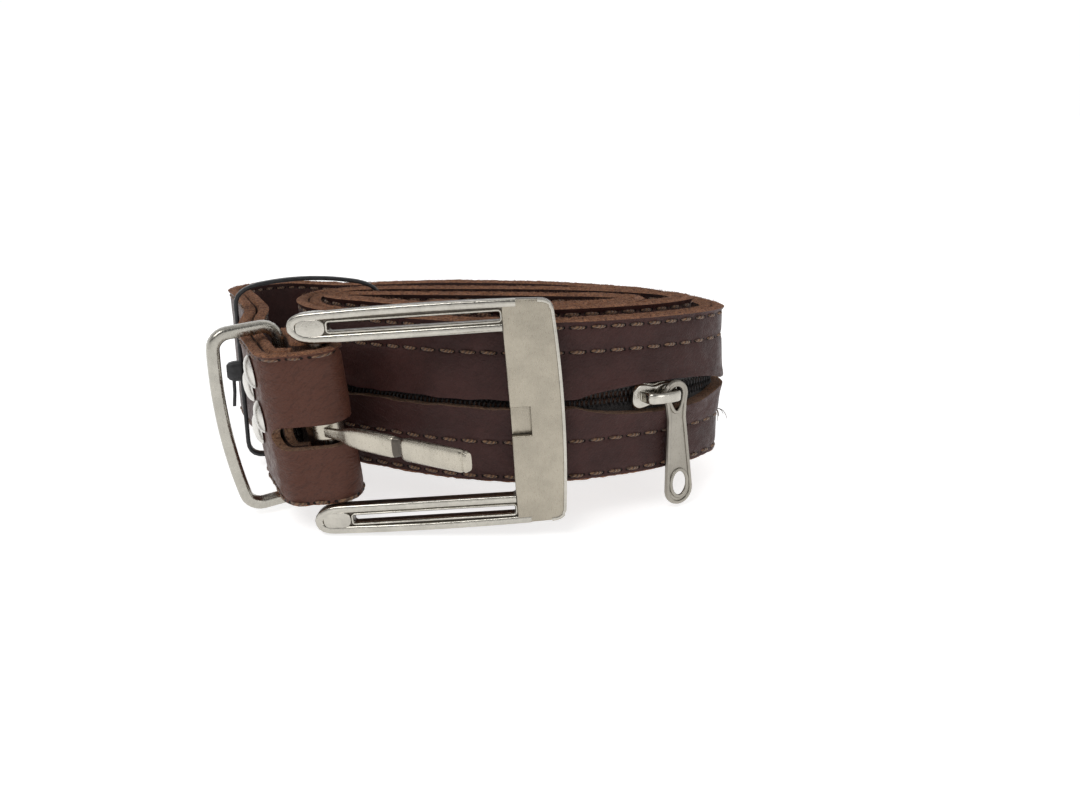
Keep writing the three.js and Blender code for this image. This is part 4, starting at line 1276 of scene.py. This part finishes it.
KEEPER_INNER, KEEPER_OUTER, KEEPER_HALF, KEEPER_BOW = -4.7, 9.1, 21.4, 1.8
KEEPER_ALONG = 11.6


def keeper_path():
    """A rounded rectangle whose outer side bows out."""
    corners = rounded_rectangle(KEEPER_INNER, -KEEPER_HALF, KEEPER_OUTER, KEEPER_HALF, 3.2, 7)
    dense = []
    for (x0, z0), (x1, z1) in zip(corners, corners[1:] + corners[:1]):
        pieces = max(1, int(math.hypot(x1 - x0, z1 - z0) / 2.5))
        dense += [(x0 + (x1 - x0) * i / pieces, z0 + (z1 - z0) * i / pieces) for i in range(pieces)]
    path = []
    for x, z in dense:
        bow = KEEPER_BOW * (1 - (z / KEEPER_HALF) ** 2) * smoothstep(x, 4, KEEPER_OUTER)
        path.append((x + bow, 0, z))
    return path


def make_keeper():
    """A cast ring round the strap and its flap."""
    ring = sweep(keeper_path(), rounded_section(1.45, 1.7, 3.2, 20))
    place = leg_matrix(KEEPER_ALONG, 0, MID_HEIGHT)
    hardware("keeper_casting", "keeper", "keeper_ring", place, [ring], [KEEPER_PLATE])


RIVETS = {
    "front_upper": (7.6, 31.5), "front_lower": (7.6, 20.5),
    "rear_upper": (15.6, 26.0), "rear_lower": (15.6, 15.0),
}
CAP_PROFILE = [
    (0.0, 1.45), (1.3, 1.38), (2.5, 1.13), (3.3, 0.72), (3.75, 0.3), (3.9, 0.05), (3.75, -0.15),
    (1.5, -0.2), (1.5, -9.5),
]
BACK_PROFILE = [(1.7, -0.15), (3.0, -0.2), (3.2, 0.0), (3.0, 0.55), (2.2, 0.85), (1.7, 0.8)]


def lathe(profile, closed):
    """Turns an (radius, outward) profile round the local X axis."""
    rings = [
        [(out, radius * math.cos(a), radius * math.sin(a)) for radius, out in profile]
        for a in around(36)
    ]
    spots = np.asarray(rings, float).reshape(-1, 3)
    return spots, grid_faces(len(rings), len(profile), close_rows=True, close_columns=closed)


# Where the caps and the washers sit, outward from the leg's middle surface.
CAP_OUTWARD = 2.95
WASHER_OUTWARD = -(FLAP_DISTANCE + 2.8) - 0.1


def make_rivets():
    cap = lathe(CAP_PROFILE, False)
    washer = lathe([(radius, -out) for radius, out in BACK_PROFILE], True)
    for name, (along, height) in RIVETS.items():
        for label, node, shape, outward in (
            ("rivet_dome_", "rivet_cap_", cap, CAP_OUTWARD),
            ("rivet_washer_", "rivet_back_", washer, WASHER_OUTWARD),
        ):
            place = leg_matrix(along, outward, height)
            hardware(label + name, "belt", node + name, place, [shape], [RIVET_PLATE])


# ------------------------------------------------------------------ cable tie
TIE_FROM, TIE_TO = Vector((-58, -13.4, 0)), Vector((-21.6, -0.8, 0))
TIE_LOW, TIE_HIGH, TIE_CROWN, TIE_THICKNESS, TIE_WIDTH = -4.4, 41.6, 2.2, 1.1, 2.8
# The head's sections as (distance out from the band, half width, low, high), and the cut tail's
# as (height, distance out, half width).
TIE_HEAD = (
    (0.5, 1.9, 17.0, 22.4), (-1.6, 1.9, 17.1, 22.3), (-2.6, 1.7, 17.5, 22.0), (-3.2, 1.3, 18.2, 21.4),
)
TIE_TAIL = ((17.6, -1.6, 1.35), (14.0, -1.7, 1.3), (11.2, -2.0, 1.1), (10.2, -2.1, 0.6))


def tie_path():
    length = (TIE_TO - TIE_FROM).length
    inset = TIE_THICKNESS / 2
    low, top, right = TIE_LOW + inset, TIE_HIGH - inset, length - inset
    points = [(inset + 4, low), (right - 4, low)]
    points += curve_between((right - 4, low), (right, low), (right, low + 4), 5)
    points += [(right, top - 4)]
    points += curve_between((right, top - 4), (right, top), (right - 6, top + TIE_CROWN * 0.6), 6)
    crown_end = (inset + 6, top + TIE_CROWN * 0.6)
    points += curve_between(points[-1], (length / 2, top + 1.7 * TIE_CROWN), crown_end, 12)
    points += curve_between(points[-1], (inset, top), (inset, top - 4), 6)
    points += [(inset, low + 4)]
    points += curve_between((inset, low + 4), (inset, low), (inset + 4, low), 5)[:-1]
    return [(x, 0, z) for x, z in points]


def make_cable_tie():
    across = (TIE_TO - TIE_FROM).normalized()
    side = Vector((0, 0, 1)).cross(across)
    frame_here = ROLL @ Matrix((
        (across.x, side.x, 0, TIE_FROM.x), (across.y, side.y, 0, TIE_FROM.y), (0, 0, 1, 0), (0, 0, 0, 1),
    ))
    band = sweep(tie_path(), rounded_section(TIE_THICKNESS / 2, TIE_WIDTH / 2, 5, 16))
    head = []
    for x, half, low, high in TIE_HEAD:
        section = rounded_section((high - low) / 2, half, 5, 20)
        head.append([(x, b, (low + high) / 2 + a) for a, b in section])
    tail = []
    for z, x, half in TIE_TAIL:
        tail.append([(x + a, b, z) for a, b in rounded_section(0.45, half, 4, 14)])
    shells = [band, tube(head), tube(tail)]
    hardware("tie_band", "belt", "cable_tie", frame_here, shells, [TIE_NYLON])


# ------------------------------------------------------------------ stage
def area_light(name, place, target, width, height, power):
    light = bpy.data.lights.new(name, "AREA")
    light.shape = "RECTANGLE"
    light.size, light.size_y = width, height
    light.energy = power
    holder = bpy.data.objects.new(name, light)
    bpy.context.scene.collection.objects.link(holder)
    holder.location = place
    holder.rotation_euler = (Vector(target) - Vector(place)).to_track_quat("-Z", "Y").to_euler()


def make_stage():
    bpy.ops.mesh.primitive_plane_add(size=6)
    floor = bpy.context.object
    floor.name = "studio_floor"
    floor.data.materials.append(FLOOR)
    make_world()
    area_light("key", (-0.3, -0.35, 0.7), (0, 0, 0.02), 0.45, 0.35, 2.2)
    area_light("fill", (0.6, -0.5, 0.3), (0, 0, 0.02), 0.3, 0.3, 0.5)
    area_light("back", (0.1, 0.6, 0.6), (0, 0, 0.03), 0.8, 0.3, 0.6)
    bpy.context.scene.view_settings.view_transform = "Standard"


def make_world():
    """A white studio under a dim ceiling, darkest in front, so that the metal has something to reflect."""
    world = bpy.data.worlds.new("studio")
    bpy.context.scene.world = world
    world.use_nodes = True
    nodes, links = world.node_tree.nodes, world.node_tree.links
    direction = nodes.new("ShaderNodeTexCoord")
    parts = nodes.new("ShaderNodeSeparateXYZ")
    links.new(direction.outputs["Generated"], parts.inputs[0])

    def from_to(value, low, high, to_low, to_high):
        made = nodes.new("ShaderNodeMapRange")
        for name, number in zip(("From Min", "From Max"), (low, high)):
            made.inputs[name].default_value = number
        for name, source in (("Value", value), ("To Min", to_low), ("To Max", to_high)):
            if isinstance(source, bpy.types.NodeSocket):
                links.new(source, made.inputs[name])
            else:
                made.inputs[name].default_value = source
        return made.outputs[0]

    ceiling = from_to(parts.outputs["Y"], 0.1, -0.6, 0.6, 0.2)
    strength = from_to(parts.outputs["Z"], 0.25, 0.42, 1.02, ceiling)
    background = nodes["Background"]
    background.inputs["Color"].default_value = (1, 1, 1, 1)
    links.new(strength, background.inputs["Strength"])


CAMERA_PLACE = Vector((22, -225, 64))      # in the roll's own frame, in mm
CAMERA_PITCH = math.radians(14.25) - LEAN
CAMERA_LENS = 27.03


def make_camera():
    camera = bpy.data.cameras.new("camera")
    camera.sensor_width = 36
    camera.lens = CAMERA_LENS
    camera.clip_start = 0.01
    holder = bpy.data.objects.new("camera", camera)
    bpy.context.scene.collection.objects.link(holder)
    holder.location = TO_METRES @ ROLL @ CAMERA_PLACE
    holder.rotation_euler = (math.pi / 2 - CAMERA_PITCH, 0, 0)
    bpy.context.scene.camera = holder


make_camera()
make_strap("show_strap", "outer_strap", 0, 1, True, SHOW_LEATHER)
make_strap("lining_strap", "inner_strap", BAR_FRONT + 4.5, -1, False, LINING_LEATHER)
make_stitches()
make_fibres()
frayed_thread("frayed_end", RIGHT_TURN + 3, 9.7, 5)
make_zip_tapes()
make_zip_coils()
make_zip_stops()
make_slider_body()
make_slider_crown()
make_puller()
make_buckle_frame()
make_buckle_bar()
make_prong()
make_keeper()
make_rivets()
make_cable_tie()
make_stage()
